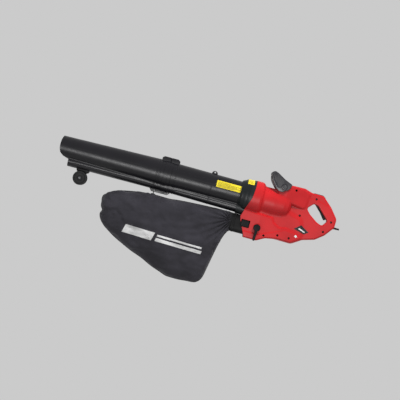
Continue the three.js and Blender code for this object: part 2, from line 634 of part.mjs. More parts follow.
// Strap that holds the bag's top seam to the eye under the tube joint.
const hookStrap = () => slab(rounded([[424, -89, 2], [424, -97, 0], [448, -97, 0], [448, -89, 2]]), -9, 9)
  .subtract(bagForm(-GAP, 20));

// ---------------------------------------------------------------- the object
piece("front_tube", frontTube(), BLACK);
piece("rear_tube", rearTube(), BLACK);
piece("tube_latch", tubeLatch(), BLACK);
piece("wheel_bracket", wheelBracket(), BLACK);
piece("wheel_axle", wheelAxle(), STEEL);
piece("wheel_left", wheel(-1), RUBBER);
piece("wheel_right", wheel(1), RUBBER);
piece("tube_collar", collar(), BLACK);
piece("housing_left", housingHalf(-1), RED);
piece("housing_right", housingHalf(1), RED);
piece("impeller", impeller(), NYLON);
piece("shredder_blade", shredderBlade(), STEEL);
piece("impeller_nut", impellerNut(), STEEL);
piece("motor_shaft", motorShaft(), STEEL);
piece("armature_core", ringX(MOTOR.x0 + 1, MOTOR.x1 - 1, SHAFT_R + 0.2, MOTOR.armatureR, 22), IRON);
piece("armature_winding", ringX(MOTOR.x1 - 0.7, MOTOR.x1 + 3, SHAFT_R + 0.2, 20, 18), COPPER);
piece("commutator", ringX(974.5, 988, SHAFT_R + 0.2, 14, 18), COPPER);
piece("motor_fan", ringX(903, 907, SHAFT_R + 0.2, 40, 24), NYLON);
piece("stator_core", statorCore(), IRON);
piece("field_coil_left", fieldCoil(-1), COPPER);
piece("field_coil_right", fieldCoil(1), COPPER);
piece("brush_left", brushHolder(-1), ALUMINIUM);
piece("brush_right", brushHolder(1), ALUMINIUM);
piece("front_shield", endShield(885, 889, 54, 11), NYLON);
piece("rear_shield", endShield(993, 998, 43, 9.5), NYLON);
piece("front_bearing", ringX(884, 891, SHAFT_R + 0.2, 11, 16), STEEL);
piece("rear_bearing", ringX(992.5, 998.5, SHAFT_R + 0.2, 9.5, 16), STEEL);
piece("aux_handle", auxHandle(), BLACK);
piece("handle_bolt", handleBolt(), STEEL);
piece("handle_knob_left", handleKnob(-1), BLACK);
piece("handle_knob_right", handleKnob(1), BLACK);
piece("selector_knob", selectorKnob(), BLACK);
piece("selector_shaft", selectorShaft(), STEEL);
piece("diverter_flap", diverterFlap(), NYLON);
piece("trigger", trigger(), BLACK);
piece("trigger_pin", triggerPin(), STEEL);
piece("trigger_switch", triggerSwitch(), NYLON);
piece("strain_relief", strainRelief(), RUBBER);
piece("grip_pad", gripPad(), RUBBER);
piece("bag_adapter", bagAdapter(), BLACK);
piece("bag_latch_left", bagLatch(-1), BLACK);
piece("bag_latch_right", bagLatch(1), BLACK);
piece("bag_fabric", bagBody(), FABRIC);
piece("bag_hook", hookStrap(), BLACK);
SCREWS.forEach(([x, z], i) => piece(`housing_screw_${i + 1}`, housingScrew(x, z), STEEL));

export default group;
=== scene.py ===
"""Looks of a corded leaf blower and vacuum with its collecting bag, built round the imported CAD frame.

Shapes are drawn in tool millimetres: x runs along the main tube from its mouth to the rear handle, z is up
and y is across, with y = z = 0 on the axis that the tube, the fan and the motor share. place() turns them
into the frame.
"""
import math

import bmesh
import bpy
import numpy as np
from mathutils import Matrix, Vector
from mathutils.bvhtree import BVHTree
from mathutils.noise import noise as noise_at


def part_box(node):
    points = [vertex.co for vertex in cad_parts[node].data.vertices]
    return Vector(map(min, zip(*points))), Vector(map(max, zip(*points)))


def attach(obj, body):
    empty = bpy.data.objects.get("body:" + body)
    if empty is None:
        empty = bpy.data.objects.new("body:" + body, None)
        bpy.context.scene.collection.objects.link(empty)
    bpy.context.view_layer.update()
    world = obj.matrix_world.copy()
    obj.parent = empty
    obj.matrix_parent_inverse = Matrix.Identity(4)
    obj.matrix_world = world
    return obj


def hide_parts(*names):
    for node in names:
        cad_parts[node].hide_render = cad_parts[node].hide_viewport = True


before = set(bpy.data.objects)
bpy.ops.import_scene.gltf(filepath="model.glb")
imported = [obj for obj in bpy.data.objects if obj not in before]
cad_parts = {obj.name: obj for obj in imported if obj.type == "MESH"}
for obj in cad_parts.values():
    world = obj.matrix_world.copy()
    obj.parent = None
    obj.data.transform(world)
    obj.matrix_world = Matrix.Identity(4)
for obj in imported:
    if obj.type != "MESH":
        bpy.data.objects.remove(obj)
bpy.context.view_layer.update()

# -------- driving dimensions, mm
JOINT_X = 470.0                     # where the two tube halves meet
COLLAR_X = 796.0                    # where the rear half enters the collar
WALL = 3.0
GAP = 0.3
SHAFT_LOW, SHAFT_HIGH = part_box("motor_shaft")
MOUTH_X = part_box("front_tube")[1].x - JOINT_X / 1000
AXIS_Z = (SHAFT_LOW.z + SHAFT_HIGH.z) / 2

SOCKET_DEPTH = 34.0                 # how far the front half is bored for the rear half's spigot
PLUG_DEPTH = 20.0                   # how far the rear half enters the collar
HOOK = (430.0, -82.0)               # the bag's hook eye under the joint
STRAP_EYE = (665.0, 60.0)           # the strap eye's hole on top of the tube
WHEEL_AT = (109.0, -112.0)
AXLE_R = 3.3
KNOB = (896.0, -123.0)              # the mode knob's axis
PIVOT = (966.0, 74.0)               # the front handle's bolt
BAR_AT = (913.0, 119.0)             # the front handle's bar
CORD_Z = -41.0
CATCH_ROOM = (824.0, 863.0, -134.0, -102.0)    # x and z ranges of the window for a bag catch
BUTTON_ROOM = (444.0, 464.0)        # x range of the tube lock's button
LOCK_TOP = 72.5                     # height of the raised block that the button sits in
WEB_LOW = -88.0                     # foot of the web under the joint that holds the bag's hook
NECK = (785.0, -120.0)              # the middle of the bag's mouth
CLOTH_THICKNESS = 0.0011            # metres
SIDES = ((-1, "left"), (1, "right"))
TUBE_AROUND = 160                   # points round a section of the tubes and collar
BAG_ALONG, BAG_AROUND = 230, 168    # points of the bag's skin
SAME_SPOT = 1e-6                    # metres under which two points are one

TILT = math.radians(14.9)           # the tool lies rolled by this in the view
VIEW_CENTRE = (632.0, -71.0)        # tool x and z at the middle of the view
VIEW_WIDTH = 1.72                   # metres across the view at the tool
CAMERA_DISTANCE = 5.0
SENSOR = 36.0
BACKDROP = 0.597                    # grey level of the plain world
FLOOR_DROP = 5.2                    # metres from the tool down to the floor
FLOOR_RADIUS = 12.0


def place(points):
    """Tool millimetres to the frame's metres."""
    return np.asarray(points, float) / 1000 + np.array([MOUTH_X, 0, AXIS_Z])


# -------- camera, light and floor
def make_camera():
    data = bpy.data.cameras.new("camera")
    data.sensor_width = SENSOR
    data.lens = SENSOR * CAMERA_DISTANCE / VIEW_WIDTH
    camera = bpy.data.objects.new("camera", data)
    bpy.context.collection.objects.link(camera)
    right = Vector((math.cos(TILT), 0, math.sin(TILT)))
    up = Vector((-math.sin(TILT), 0, math.cos(TILT)))
    back = Vector((0, -1, 0))
    centre = Vector(place((VIEW_CENTRE[0], 0, VIEW_CENTRE[1])))
    facing = Matrix((right, up, back)).transposed().to_4x4()
    camera.matrix_world = Matrix.Translation(centre + back * CAMERA_DISTANCE) @ facing
    bpy.context.scene.camera = camera


def area_light(name, where, aim, size, power, glossy=True, diffuse=True):
    data = bpy.data.lights.new(name, "AREA")
    data.shape = "RECTANGLE"
    data.size, data.size_y = size
    data.energy = power
    light = bpy.data.objects.new(name, data)
    bpy.context.collection.objects.link(light)
    light.location = where
    light.rotation_euler = (Vector(aim) - Vector(where)).to_track_quat("-Z", "Y").to_euler()
    light.visible_camera = False
    light.visible_glossy = glossy
    light.visible_diffuse = diffuse


def make_stage():
    world = bpy.data.worlds.new("studio")
    bpy.context.scene.world = world
    world.use_nodes = True
    background = world.node_tree.nodes["Background"]
    background.inputs["Color"].default_value = (BACKDROP, BACKDROP, BACKDROP, 1)
    background.inputs["Strength"].default_value = 1.0
    bpy.context.scene.view_settings.view_transform = "Standard"
    bpy.context.scene.view_settings.look = "None"
    mesh = bpy.data.meshes.new("floor")
    bm = bmesh.new()
    bmesh.ops.create_circle(bm, cap_ends=True, segments=128, radius=FLOOR_RADIUS)
    bm.to_mesh(mesh)
    bm.free()
    floor = bpy.data.objects.new("floor", mesh)
    bpy.context.collection.objects.link(floor)
    floor.location = (-0.55, 0, -FLOOR_DROP)
    material = bpy.data.materials.new("floor_paint")
    material.use_nodes = True
    shader = material.node_tree.nodes["Principled BSDF"]
    shader.inputs["Base Color"].default_value = (0.9, 0.9, 0.9, 1)
    shader.inputs["Roughness"].default_value = 0.8
    mesh.materials.append(material)
    middle = (-0.5, 0, -0.1)
    area_light("strip", (-0.75, -3.0, -0.95), middle, (2.2, 0.85), 76, diffuse=False)
    area_light("key", (0.0, -1.9, 2.4), middle, (1.1, 0.9), 88, glossy=False)
    area_light("back", (-0.2, 2.6, 1.3), middle, (2.0, 1.4), 26, glossy=False)


# -------- meshes
def link(name, mesh):
    mesh.shade_smooth()
    obj = bpy.data.objects.new(name, mesh)
    bpy.context.collection.objects.link(obj)
    return obj


def from_arrays(name, points, faces):
    mesh = bpy.data.meshes.new(name)
    mesh.from_pydata(place(points).tolist(), [], faces if isinstance(faces, list) else faces.tolist())
    mesh.validate()
    mesh.update()
    return link(name, mesh)


def loft(name, rings, ends="flat"):
    """Rings of points joined into one skin: flat or open ends, or the last ring joined to the first."""
    rings = np.asarray(rings, float)
    count, around = rings.shape[:2]
    faces = []
    for r in range(count if ends == "joined" else count - 1):
        for i in range(around):
            j, n = (i + 1) % around, (r + 1) % count
            faces.append([r * around + i, r * around + j, n * around + j, n * around + i])
    if ends == "flat":
        faces.append(list(range(around))[::-1])
        faces.append([(count - 1) * around + i for i in range(around)])
    obj = from_arrays(name, rings.reshape(-1, 3), faces)
    face_out(obj)
    return obj


def turn(count):
    """Even angles of one full turn."""
    return np.linspace(0, 2 * math.pi, count, endpoint=False)


def face_out(obj):
    bm = bmesh.new()
    bm.from_mesh(obj.data)
    bmesh.ops.recalc_face_normals(bm, faces=bm.faces)
    bm.to_mesh(obj.data)
    bm.free()


def revolve(name, profile, axis, centre=(0, 0, 0), sides=64):
    """A closed or axis-to-axis profile of (along, radius) turned about x or y through centre."""
    angles = turn(sides)
    rings = []
    for along, radius in profile:
        c, s = radius * np.cos(angles), radius * np.sin(angles)
        flat = np.full(sides, float(along))
        ring = np.stack((flat, c, s), 1) if axis == "x" else np.stack((c, flat, s), 1)
        rings.append(ring + np.asarray(centre, float))
    if np.allclose(profile[0], profile[-1]):
        return loft(name, rings[:-1], "joined")
    return weld(loft(name, rings))


def weld(obj):
    """Joins points that coincide, such as those where a turned profile meets its axis."""
    bm = bmesh.new()
    bm.from_mesh(obj.data)
    bmesh.ops.remove_doubles(bm, verts=bm.verts, dist=SAME_SPOT)
    bmesh.ops.dissolve_degenerate(bm, edges=bm.edges, dist=SAME_SPOT)
    bmesh.ops.recalc_face_normals(bm, faces=bm.faces)
    bm.to_mesh(obj.data)
    bm.free()
    return obj


def rounded(corners, steps=6):
    """A closed outline of (x, z, radius) corners with each corner as an arc."""
    points = []
    count = len(corners)
    for i, (x, z, radius) in enumerate(corners):
        here = np.array([x, z], float)
        before = np.array(corners[i - 1][:2], float) - here
        after = np.array(corners[(i + 1) % count][:2], float) - here
        if radius == 0:
            points.append(here)
            continue
        into, out = before / np.linalg.norm(before), after / np.linalg.norm(after)
        half = math.acos(float(np.clip(into @ out, -1, 1))) / 2
        reach = min(radius / math.tan(half), 0.49 * np.linalg.norm(before), 0.49 * np.linalg.norm(after))
        a, b = here + into * reach, here + out * reach
        for t in np.linspace(0, 1, steps + 1):
            points.append((1 - t) ** 2 * a + 2 * t * (1 - t) * here + t * t * b)
    return np.array(points)


def bar(x0, x1, z0, z1, radius, steps=6):
    """A rounded rectangle's outline."""
    return rounded([(x0, z0, radius), (x1, z0, radius), (x1, z1, radius), (x0, z1, radius)], steps)


def beside(side, near, far):
    """Two distances from the middle plane as a y range on the given side."""
    return sorted((near * side, far * side))


def slab(name, outline, y0, y1, bevel=0.0, segments=2):
    """An outline in the XZ plane given thickness across Y, with its long edges rounded."""
    rings = [np.column_stack((outline[:, 0], np.full(len(outline), y), outline[:, 1])) for y in (y0, y1)]
    obj = loft(name, rings)
    if bevel > 0:
        round_edges(obj, bevel, segments)
    return obj


def round_edges(obj, width, segments=2):
    modifier = obj.modifiers.new("round", "BEVEL")
    modifier.width = width / 1000
    modifier.segments = segments
    modifier.limit_method = "ANGLE"
    modifier.angle_limit = math.radians(40)
    apply_all(obj)


def apply_all(obj):
    graph = bpy.context.evaluated_depsgraph_get()
    mesh = bpy.data.meshes.new_from_object(obj.evaluated_get(graph))
    old = obj.data
    obj.modifiers.clear()
    obj.data = mesh
    bpy.data.meshes.remove(old)
    return obj


def combine(obj, others, operation):
    """Adds, cuts or keeps the overlap of obj with the others, which are used up."""
    for other in others:
        modifier = obj.modifiers.new("solid", "BOOLEAN")
        modifier.operation = operation
        modifier.solver = "MANIFOLD"
        modifier.object = other
    apply_all(obj)
    for other in others:
        bpy.data.objects.remove(other)
    return obj


def add(obj, others):
    return combine(obj, others, "UNION")


def carve(obj, others):
    return combine(obj, others, "DIFFERENCE")


def clip(obj, other):
    return combine(obj, [other], "INTERSECT")


def crisp(obj, angle=35):
    """Smooth faces with a crisp line wherever two meet at more than the angle."""
    obj.data.shade_smooth()
    obj.data.set_sharp_from_angle(angle=math.radians(angle))
    return obj


# -------- fields: negative inside, in millimetres
def join(a, b, blend_width):
    if blend_width <= 0:
        return np.minimum(a, b)
    h = np.clip(0.5 + 0.5 * (b - a) / blend_width, 0, 1)
    return b + (a - b) * h - blend_width * h * (1 - h)


def cut(a, b, blend_width=0.0):
    return -join(-a, b, blend_width)


def outline_distance(outline, x, z):
    best, inside = None, False
    for (ax, az), (bx, bz) in zip(outline, np.roll(outline, -1, 0)):
        ex, ez = bx - ax, bz - az
        t = np.clip(((x - ax) * ex + (z - az) * ez) / (ex * ex + ez * ez + 1e-12), 0, 1)
        apart = (x - ax - ex * t) ** 2 + (z - az - ez * t) ** 2
        best = apart if best is None else np.minimum(best, apart)
        if ez != 0:
            crosses = ((az > z) != (bz > z)) & (x < ex * (z - az) / ez + ax)
            inside = inside ^ crosses
    return np.where(inside, -1, 1) * np.sqrt(best)


def slab_field(flat, y, half, radius):
    """Thickness across Y given to a distance field in the XZ plane, edges rounded by the radius."""
    across = flat + radius
    thick = np.abs(y) - (half - radius)
    outside = np.hypot(np.maximum(across, 0), np.maximum(thick, 0))
    return np.minimum(np.maximum(across, thick), 0) + outside - radius


CORNERS = [(i, j, k) for i in (0, 1) for j in (0, 1) for k in (0, 1)]
CELL_EDGES = [(a, b) for a in range(8) for b in range(a + 1, 8)
              if sum(abs(p - q) for p, q in zip(CORNERS[a], CORNERS[b])) == 1]


def cell_faces(inside, number):
    """One quad of cell points across each grid edge that passes through the surface."""
    shape = number.shape
    faces = []
    for axis in range(3):
        u, w = (axis + 1) % 3, (axis + 2) % 3
        lower = [slice(None)] * 3
        upper = [slice(None)] * 3
        lower[axis], upper[axis] = slice(0, -1), slice(1, None)
        near, far = inside[tuple(lower)], inside[tuple(upper)]
        where = np.argwhere(near != far)
        keep = (where[:, u] > 0) & (where[:, w] > 0) & (where[:, u] < shape[u]) & (where[:, w] < shape[w])
        where = where[keep]
        unit_u, unit_w = np.eye(3, dtype=int)[u], np.eye(3, dtype=int)[w]
        quad = [number[tuple((where - du * unit_u - dw * unit_w).T)]
                for du, dw in ((1, 1), (0, 1), (0, 0), (1, 0))]
        quad = np.stack(quad, 1)
        outward = near[tuple(where.T)]
        faces.append(np.where(outward[:, None], quad, quad[:, ::-1]))
    return np.concatenate(faces)


def settle(points, field, reach):
    """Points moved onto the field's zero surface, by at most the reach in each of two rounds."""
    h = 0.15
    for _ in range(2):
        x, y, z = points.T
        f = field(x, y, z)
        slope = np.stack((field(x + h, y, z) - f, field(x, y + h, z) - f, field(x, y, z + h) - f), 1) / h
        move = -f[:, None] * slope / np.maximum((slope ** 2).sum(1), 0.05)[:, None]
        length = np.linalg.norm(move, axis=1, keepdims=True)
        points = points + move * np.minimum(1, reach / np.maximum(length, 1e-9))
    return points


def surface(name, field, low, high, step):
    """The zero surface of a field as an even mesh of quads, each point then moved onto the surface."""
    axes = [np.arange(low[k], high[k] + step, step) for k in range(3)]
    grid = np.meshgrid(*axes, indexing="ij", sparse=True)
    value = np.broadcast_to(field(*grid), [len(a) for a in axes]).astype(np.float32)
    inside = value < 0
    cells_shape = [len(a) - 1 for a in axes]

    def corner(array, offset):
        return array[tuple(slice(o, o + n) for o, n in zip(offset, cells_shape))]

    total = sum(corner(inside, c).astype(np.int8) for c in CORNERS)
    active = (total > 0) & (total < 8)
    number = np.full(active.shape, -1, np.int64)
    number[active] = np.arange(active.sum())
    cells = np.argwhere(active)
    values = np.stack([corner(value, c)[active] for c in CORNERS], 1)
    spot = np.zeros((len(cells), 3))
    hits = np.zeros(len(cells))
    for a, b in CELL_EDGES:
        va, vb = values[:, a], values[:, b]
        crossed = (va < 0) != (vb < 0)
        t = np.where(crossed, va / np.where(crossed, va - vb, 1), 0)[:, None]
        start, end = np.array(CORNERS[a], float), np.array(CORNERS[b], float)
        spot += np.where(crossed[:, None], start + (end - start) * t, 0)
        hits += crossed
    points = np.array([a[0] for a in axes]) + (cells + spot / hits[:, None]) * step
    return mend(from_arrays(name, settle(points, field, step * 0.6), cell_faces(inside, number)))


def mend(obj):
    """Closes the few places where two sheets of a gridded surface touch along an edge."""
    bm = bmesh.new()
    bm.from_mesh(obj.data)
    for _ in range(4):
        bad = {v for edge in bm.edges if not edge.is_manifold for v in edge.verts}
        if not bad:
            break
        bmesh.ops.delete(bm, geom=list(bad), context="VERTS")
        rim = [edge for edge in bm.edges if edge.is_boundary]
        patch = bmesh.ops.holes_fill(bm, edges=rim, sides=0)["faces"]
        bmesh.ops.triangulate(bm, faces=patch)
    bm.to_mesh(obj.data)
    bm.free()
    return obj


# -------- materials
def new_material(name):
    material = bpy.data.materials.new(name)
    material.use_nodes = True
    tree = material.node_tree
    return material, tree, tree.nodes["Principled BSDF"]


def noise(tree, scale, detail=3.0, roughness=0.5, coords=None, distortion=0.0):
    node = tree.nodes.new("ShaderNodeTexNoise")
    node.inputs["Scale"].default_value = scale
    node.inputs["Detail"].default_value = detail
    node.inputs["Roughness"].default_value = roughness
    node.inputs["Distortion"].default_value = distortion
    if coords:
        tree.links.new(coords, node.inputs["Vector"])
    return node.outputs["Fac"]


def map_range(tree, value, low, high, to_low=0.0, to_high=1.0):
    node = tree.nodes.new("ShaderNodeMapRange")
    node.inputs["From Min"].default_value = low
    node.inputs["From Max"].default_value = high
    node.inputs["To Min"].default_value = to_low
    node.inputs["To Max"].default_value = to_high
    tree.links.new(value, node.inputs["Value"])
    return node.outputs["Result"]


def mix(tree, factor, kind="MIX"):
    """A colour mix whose factor is a number or a socket."""
    node = tree.nodes.new("ShaderNodeMix")
    node.data_type = "RGBA"
    node.blend_type = kind
    if isinstance(factor, float):
        node.inputs["Factor"].default_value = factor
    else:
        tree.links.new(factor, node.inputs["Factor"])
    return node


def ramp(tree, value, low, high, low_colour, high_colour):
    node = mix(tree, map_range(tree, value, low, high))
    node.inputs["A"].default_value = (*low_colour, 1)
    node.inputs["B"].default_value = (*high_colour, 1)
    return node.outputs["Result"]


def spread(tree, value, low, high):
    """A noise value stretched over a range."""
    return map_range(tree, value, 0.3, 0.7, low, high)


def bump(tree, height, distance, strength=1.0, under=None):
    node = tree.nodes.new("ShaderNodeBump")
    node.inputs["Strength"].default_value = strength
    node.inputs["Distance"].default_value = distance
    tree.links.new(height, node.inputs["Height"])
    if under:
        tree.links.new(under, node.inputs["Normal"])
    return node.outputs["Normal"]


def object_coords(tree):
    return tree.nodes.new("ShaderNodeTexCoord").outputs["Object"]


def moulded(name, colour, roughness, grain=2600.0, depth=0.00005, worn=1.35, shine=0.22):
    """Moulded plastic: fine grain, slow changes of sheen, and edges rubbed a little lighter."""
    material, tree, shader = new_material(name)
    coords = object_coords(tree)
    slow = noise(tree, 9.0, 4.0, coords=coords)
    fine = noise(tree, grain, 2.0, coords=coords)
    dull = [c * 0.88 for c in colour]
    bright = [min(c * 1.1, 1) for c in colour]
    base = ramp(tree, slow, 0.35, 0.65, dull, bright)
    geometry = tree.nodes.new("ShaderNodeNewGeometry")
    rubbed = mix(tree, map_range(tree, geometry.outputs["Pointiness"], 0.53, 0.62, 0.0, 0.6))
    tree.links.new(base, rubbed.inputs["A"])
    rubbed.inputs["B"].default_value = (*[min(c * worn + 0.01, 1) for c in colour], 1)
    tree.links.new(rubbed.outputs["Result"], shader.inputs["Base Color"])
    patches = noise(tree, 35.0, 5.0, coords=coords)
    tree.links.new(spread(tree, patches, roughness - 0.05, roughness + 0.06), shader.inputs["Roughness"])
    tree.links.new(bump(tree, fine, depth), shader.inputs["Normal"])
    shader.inputs["Specular IOR Level"].default_value = shine
    return material


def metal(name, colour, roughness):
    material, tree, shader = new_material(name)
    coords = object_coords(tree)
    shader.inputs["Metallic"].default_value = 1.0
    dull = [c * 0.8 for c in colour]
    stains = noise(tree, 60.0, 4.0, coords=coords)
    strokes = noise(tree, 400.0, 3.0, coords=coords)
    fine = noise(tree, 1200.0, 2.0, coords=coords)
    tree.links.new(ramp(tree, stains, 0.3, 0.7, dull, colour), shader.inputs["Base Color"])
    tree.links.new(spread(tree, strokes, roughness - 0.08, roughness + 0.1), shader.inputs["Roughness"])
    tree.links.new(bump(tree, fine, 0.00002), shader.inputs["Normal"])
    return material


def cloth(name, colour, thread, depth):
    """Woven fabric: crossed threads of the given width in metres, with a faint sheen and uneven dye."""
    material, tree, shader = new_material(name)
    coords = object_coords(tree)
    waves = []
    for direction in ("X", "Z"):
        wave = tree.nodes.new("ShaderNodeTexWave")
        wave.bands_direction = direction
        wave.inputs["Scale"].default_value = 2 * math.pi / (20 * thread)
        wave.inputs["Distortion"].default_value = 0.6
        wave.inputs["Detail"].default_value = 1.0
        tree.links.new(coords, wave.inputs["Vector"])
        waves.append(wave.outputs["Fac"])
    threads = tree.nodes.new("ShaderNodeMath")
    threads.operation = "MULTIPLY"
    tree.links.new(waves[0], threads.inputs[0])
    tree.links.new(waves[1], threads.inputs[1])
    dye = noise(tree, 14.0, 5.0, coords=coords)
    base = ramp(tree, dye, 0.3, 0.7, [c * 0.75 for c in colour], [c * 1.25 for c in colour])
    weave = mix(tree, 0.35, "MULTIPLY")
    tree.links.new(base, weave.inputs["A"])
    tree.links.new(threads.outputs["Value"], weave.inputs["B"])
    tree.links.new(weave.outputs["Result"], shader.inputs["Base Color"])
    tree.links.new(spread(tree, dye, 0.78, 0.92), shader.inputs["Roughness"])
    shader.inputs["Sheen Weight"].default_value = 0.12
    shader.inputs["Specular IOR Level"].default_value = 0.15
    shader.inputs["Sheen Roughness"].default_value = 0.45
    creases = bump(tree, noise(tree, 38.0, 5.0, 0.62, coords, 0.8), 0.0016, 0.6)
    tree.links.new(bump(tree, threads.outputs["Value"], depth, 1.0, creases), shader.inputs["Normal"])
    return material


RED = moulded("housing_red", (0.52, 0.0145, 0.018), 0.42, worn=1.2, shine=0.2)
TUBE = moulded("tube_black", (0.0085, 0.008, 0.0105), 0.34, depth=0.00006, worn=2.2, shine=0.3)
COLLAR = moulded("collar_black", (0.009, 0.0115, 0.0125), 0.4, worn=2.0)
TRIM = moulded("trim_black", (0.006, 0.006, 0.0065), 0.55, worn=2.2, shine=0.12)
HANDLE = moulded("handle_black", (0.016, 0.015, 0.019), 0.36, depth=0.000015, worn=2.4, shine=0.6)
NYLON = moulded("fan_nylon", (0.02, 0.021, 0.023), 0.55)
WHEEL = moulded("wheel_black", (0.009, 0.009, 0.0095), 0.6, grain=1500.0, depth=0.00012, worn=2.0)
RUBBER = moulded("soft_rubber", (0.0085, 0.0085, 0.009), 0.72, grain=1800.0, depth=0.0001, worn=1.8)
YELLOW = moulded("label_yellow", (0.78, 0.63, 0.03), 0.45, depth=0.00001, worn=1.05)
WHITE = moulded("label_white", (0.75, 0.75, 0.74), 0.45, depth=0.00001, worn=1.02)
INK = moulded("label_ink", (0.02, 0.02, 0.02), 0.5, depth=0.00001)
STEEL = metal("steel", (0.56, 0.57, 0.59), 0.32)
IRON = metal("iron", (0.24, 0.24, 0.26), 0.5)
DARK_STEEL = metal("dark_steel", (0.07, 0.07, 0.074), 0.42)
COPPER = metal("copper", (0.72, 0.36, 0.2), 0.38)
BRASS = metal("brass", (0.65, 0.5, 0.22), 0.4)
CLOTH = cloth("bag_cloth", (0.045, 0.043, 0.053), 0.0019, 0.00022)
WEBBING = cloth("webbing", (0.014, 0.014, 0.015), 0.0026, 0.0004)
PRINT = cloth("print_white", (0.9, 0.9, 0.9), 0.0019, 0.0001)


def hand_over(obj, material, body, slot=None, *nodes):
    """Gives a finished piece its material and its body, and hides the CAD nodes that it stands for; slot is
    not used.
    """
    obj.data.materials.clear()
    obj.data.materials.append(material)
    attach(obj, body)
    if nodes:
        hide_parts(*nodes)
    return obj


# -------- red housing
FRONT_LINE = [(851, 90), (849, 30), (844, -8), (828, -52), (816, -92), (820, -108), (848, -168),
              (852, -200)]
PLATE = [(940, 30, 0), (965, 54, 0), (984, 67, 6), (1001, 90, 10), (1058, 91, 14), (1090, 82, 20),
         (1142, 81, 12), (1184, 43, 40), (1220, -2, 24), (1219, -40, 16), (1186, -82, 25), (1150, -110, 30),
         (1098, -125, 40), (1055, -151, 26), (984, -150, 40), (940, -130, 0)]
GRIP_HOLE = [(1084, 12, 12), (1110, 39, 14), (1130, 33, 10), (1184, -20, 12), (1166, -45, 14),
             (1140, -35, 20), (1104, -10, 20)]
LOWER_CORE = [(800, -30, 0), (800, -175, 0), (906, -175, 16), (942, -156, 20), (990, -147, 40),
              (1052, -149, 24), (1096, -118, 30), (1075, -40, 30), (1000, -20, 0)]
LOWER_SKIN = [(800, -52, 0), (800, -177, 0), (906, -177, 16), (942, -158, 20), (990, -149, 40),
              (1052, -151, 24), (1100, -118, 26), (1062, -97, 30), (1018, -90, 10), (990, -97, 12),
              (964, -84, 14), (951, -63, 8), (880, -60, 30)]
HUMP = [(944, 20, 0), (948, 80, 12), (968, 89, 12), (984, 82, 6), (1001, 90, 10), (1058, 91, 14),
        (1088, 76, 12), (1080, 0, 20)]
DRUM = [(780, 68), (846, 71.5), (852, 72.5), (879, 72), (885, 69), (892, 60), (898, 58.6), (940, 58.6),
        (985, 54), (1004, 47), (1014, 34), (1018, 10)]
LOWER_CREASE = [(905, -150), (942, -135), (1018, -102), (1050, -106), (1110, -112)]
UPPER_CREASE = [(985, 26), (1028, 37), (1110, 59), (1180, 40)]
PLATE_EDGE = rounded(PLATE)
HOLE_EDGE = rounded(GRIP_HOLE)
CORE_EDGE = rounded(LOWER_CORE)
SKIN_EDGE = rounded(LOWER_SKIN)
HUMP_EDGE = rounded(HUMP)
SCREWS = [(1020, 74), (1114, 60), (1199, -20), (1176, -68), (1040, -132), (990, -132), (1062, -26),
          (932, -148)]
HOUSING_LOW, HOUSING_HIGH = (806, -76, -180), (1224, 76, 95)
SKIN_STEP, CORE_STEP = 1.9, 2.6     # grid steps of the outer and the inner skin


def step_across(line, x, z, height):
    """A soft step of the given height in millimetres as z rises through a polyline."""
    level = np.interp(x, [p[0] for p in line], [p[1] for p in line])
    return height * 0.5 * (1 + np.tanh((z - level) / 1.2))


def housing_field(x, y, z):
    drum = np.hypot(y, z) - np.interp(x, [p[0] for p in DRUM], [p[1] for p in DRUM])
    drum = np.maximum(drum, x - DRUM[-1][0])
    narrow = np.clip(1 - (x - 900) / 190 * 0.42, 0.55, 1)
    skin_half = 46 * narrow - step_across(LOWER_CREASE, x, z, 2.2)
    core = slab_field(outline_distance(CORE_EDGE, x, z), y, 35 * narrow, 12)
    skin = slab_field(outline_distance(SKIN_EDGE, x, z), y, skin_half, 9)
    top_half = 45 * np.clip(1 - (x - 985) / 105 * 0.5, 0.5, 1)
    hump = slab_field(outline_distance(HUMP_EDGE, x, z), y, top_half, 11)
    plate_half = 21.0 - step_across(UPPER_CREASE, x, z, 1.8)
    plate = slab_field(outline_distance(PLATE_EDGE, x, z), y, plate_half, 9)
    body = join(join(drum, core, 9), plate, 13)
    body = join(join(body, hump, 5), skin, 3)
    hole = outline_distance(HOLE_EDGE, x, z)
    body = cut(body, hole, 6)
    return np.maximum(body, 808 - x)


def inner_field(x, y, z):
    return housing_field(x, y, z) + WALL


def behind_front(name, gap):
    line = [(x + gap, z) for x, z in FRONT_LINE]
    return slab(name, np.array(line + [(1400, -260), (1400, 160)], float), -150, 150)


def block(name, x0, x1, y0, y1, z0, z1):
    return slab(name, np.array([(x0, z0), (x1, z0), (x1, z1), (x0, z1)], float), y0, y1)


def pin(name, x, z, radius, y0, y1, sides=32):
    angles = turn(sides)
    return slab(name, np.column_stack((x + radius * np.cos(angles), z + radius * np.sin(angles))), y0, y1)


def rod_x(name, x0, x1, radius, z, sides=32):
    return revolve(name, [(x0, 0), (x0, radius), (x1, radius), (x1, 0)], "x", (0, 0, z), sides)


def housing_cuts(side):
    """What is cut out of one half: trigger slot, cord hole, bolt hole, catch window, screw holes, vents."""
    trigger_slot = rounded([(1108, 44, 2), (1126, 58, 2), (1196, -8, 2), (1176, -28, 2)])
    cuts = [slab("slot", trigger_slot, -11.5, 11.5),
            rod_x("cord_hole", 1195, 1240, 5.6, CORD_Z),
            pin("pivot", *PIVOT, 4.6, -80, 80),
            block("latch", *CATCH_ROOM[:2], *beside(side, 36, 60), *CATCH_ROOM[2:])]
    cuts += [pin("shank", x, z, 2.3, -30, 16, 16) for x, z in SCREWS]
    if side < 0:
        wells = [pin("well", x, z, 4.8, -80, -8, 32) for x, z in SCREWS]
        return cuts + wells + [pin("knob", *KNOB, 5, -80, 0)]
    return cuts + [slab("vent", bar(x, x + 4, 30, 62, 2, 3), 15, 60) for x in range(1030, 1067, 9)]


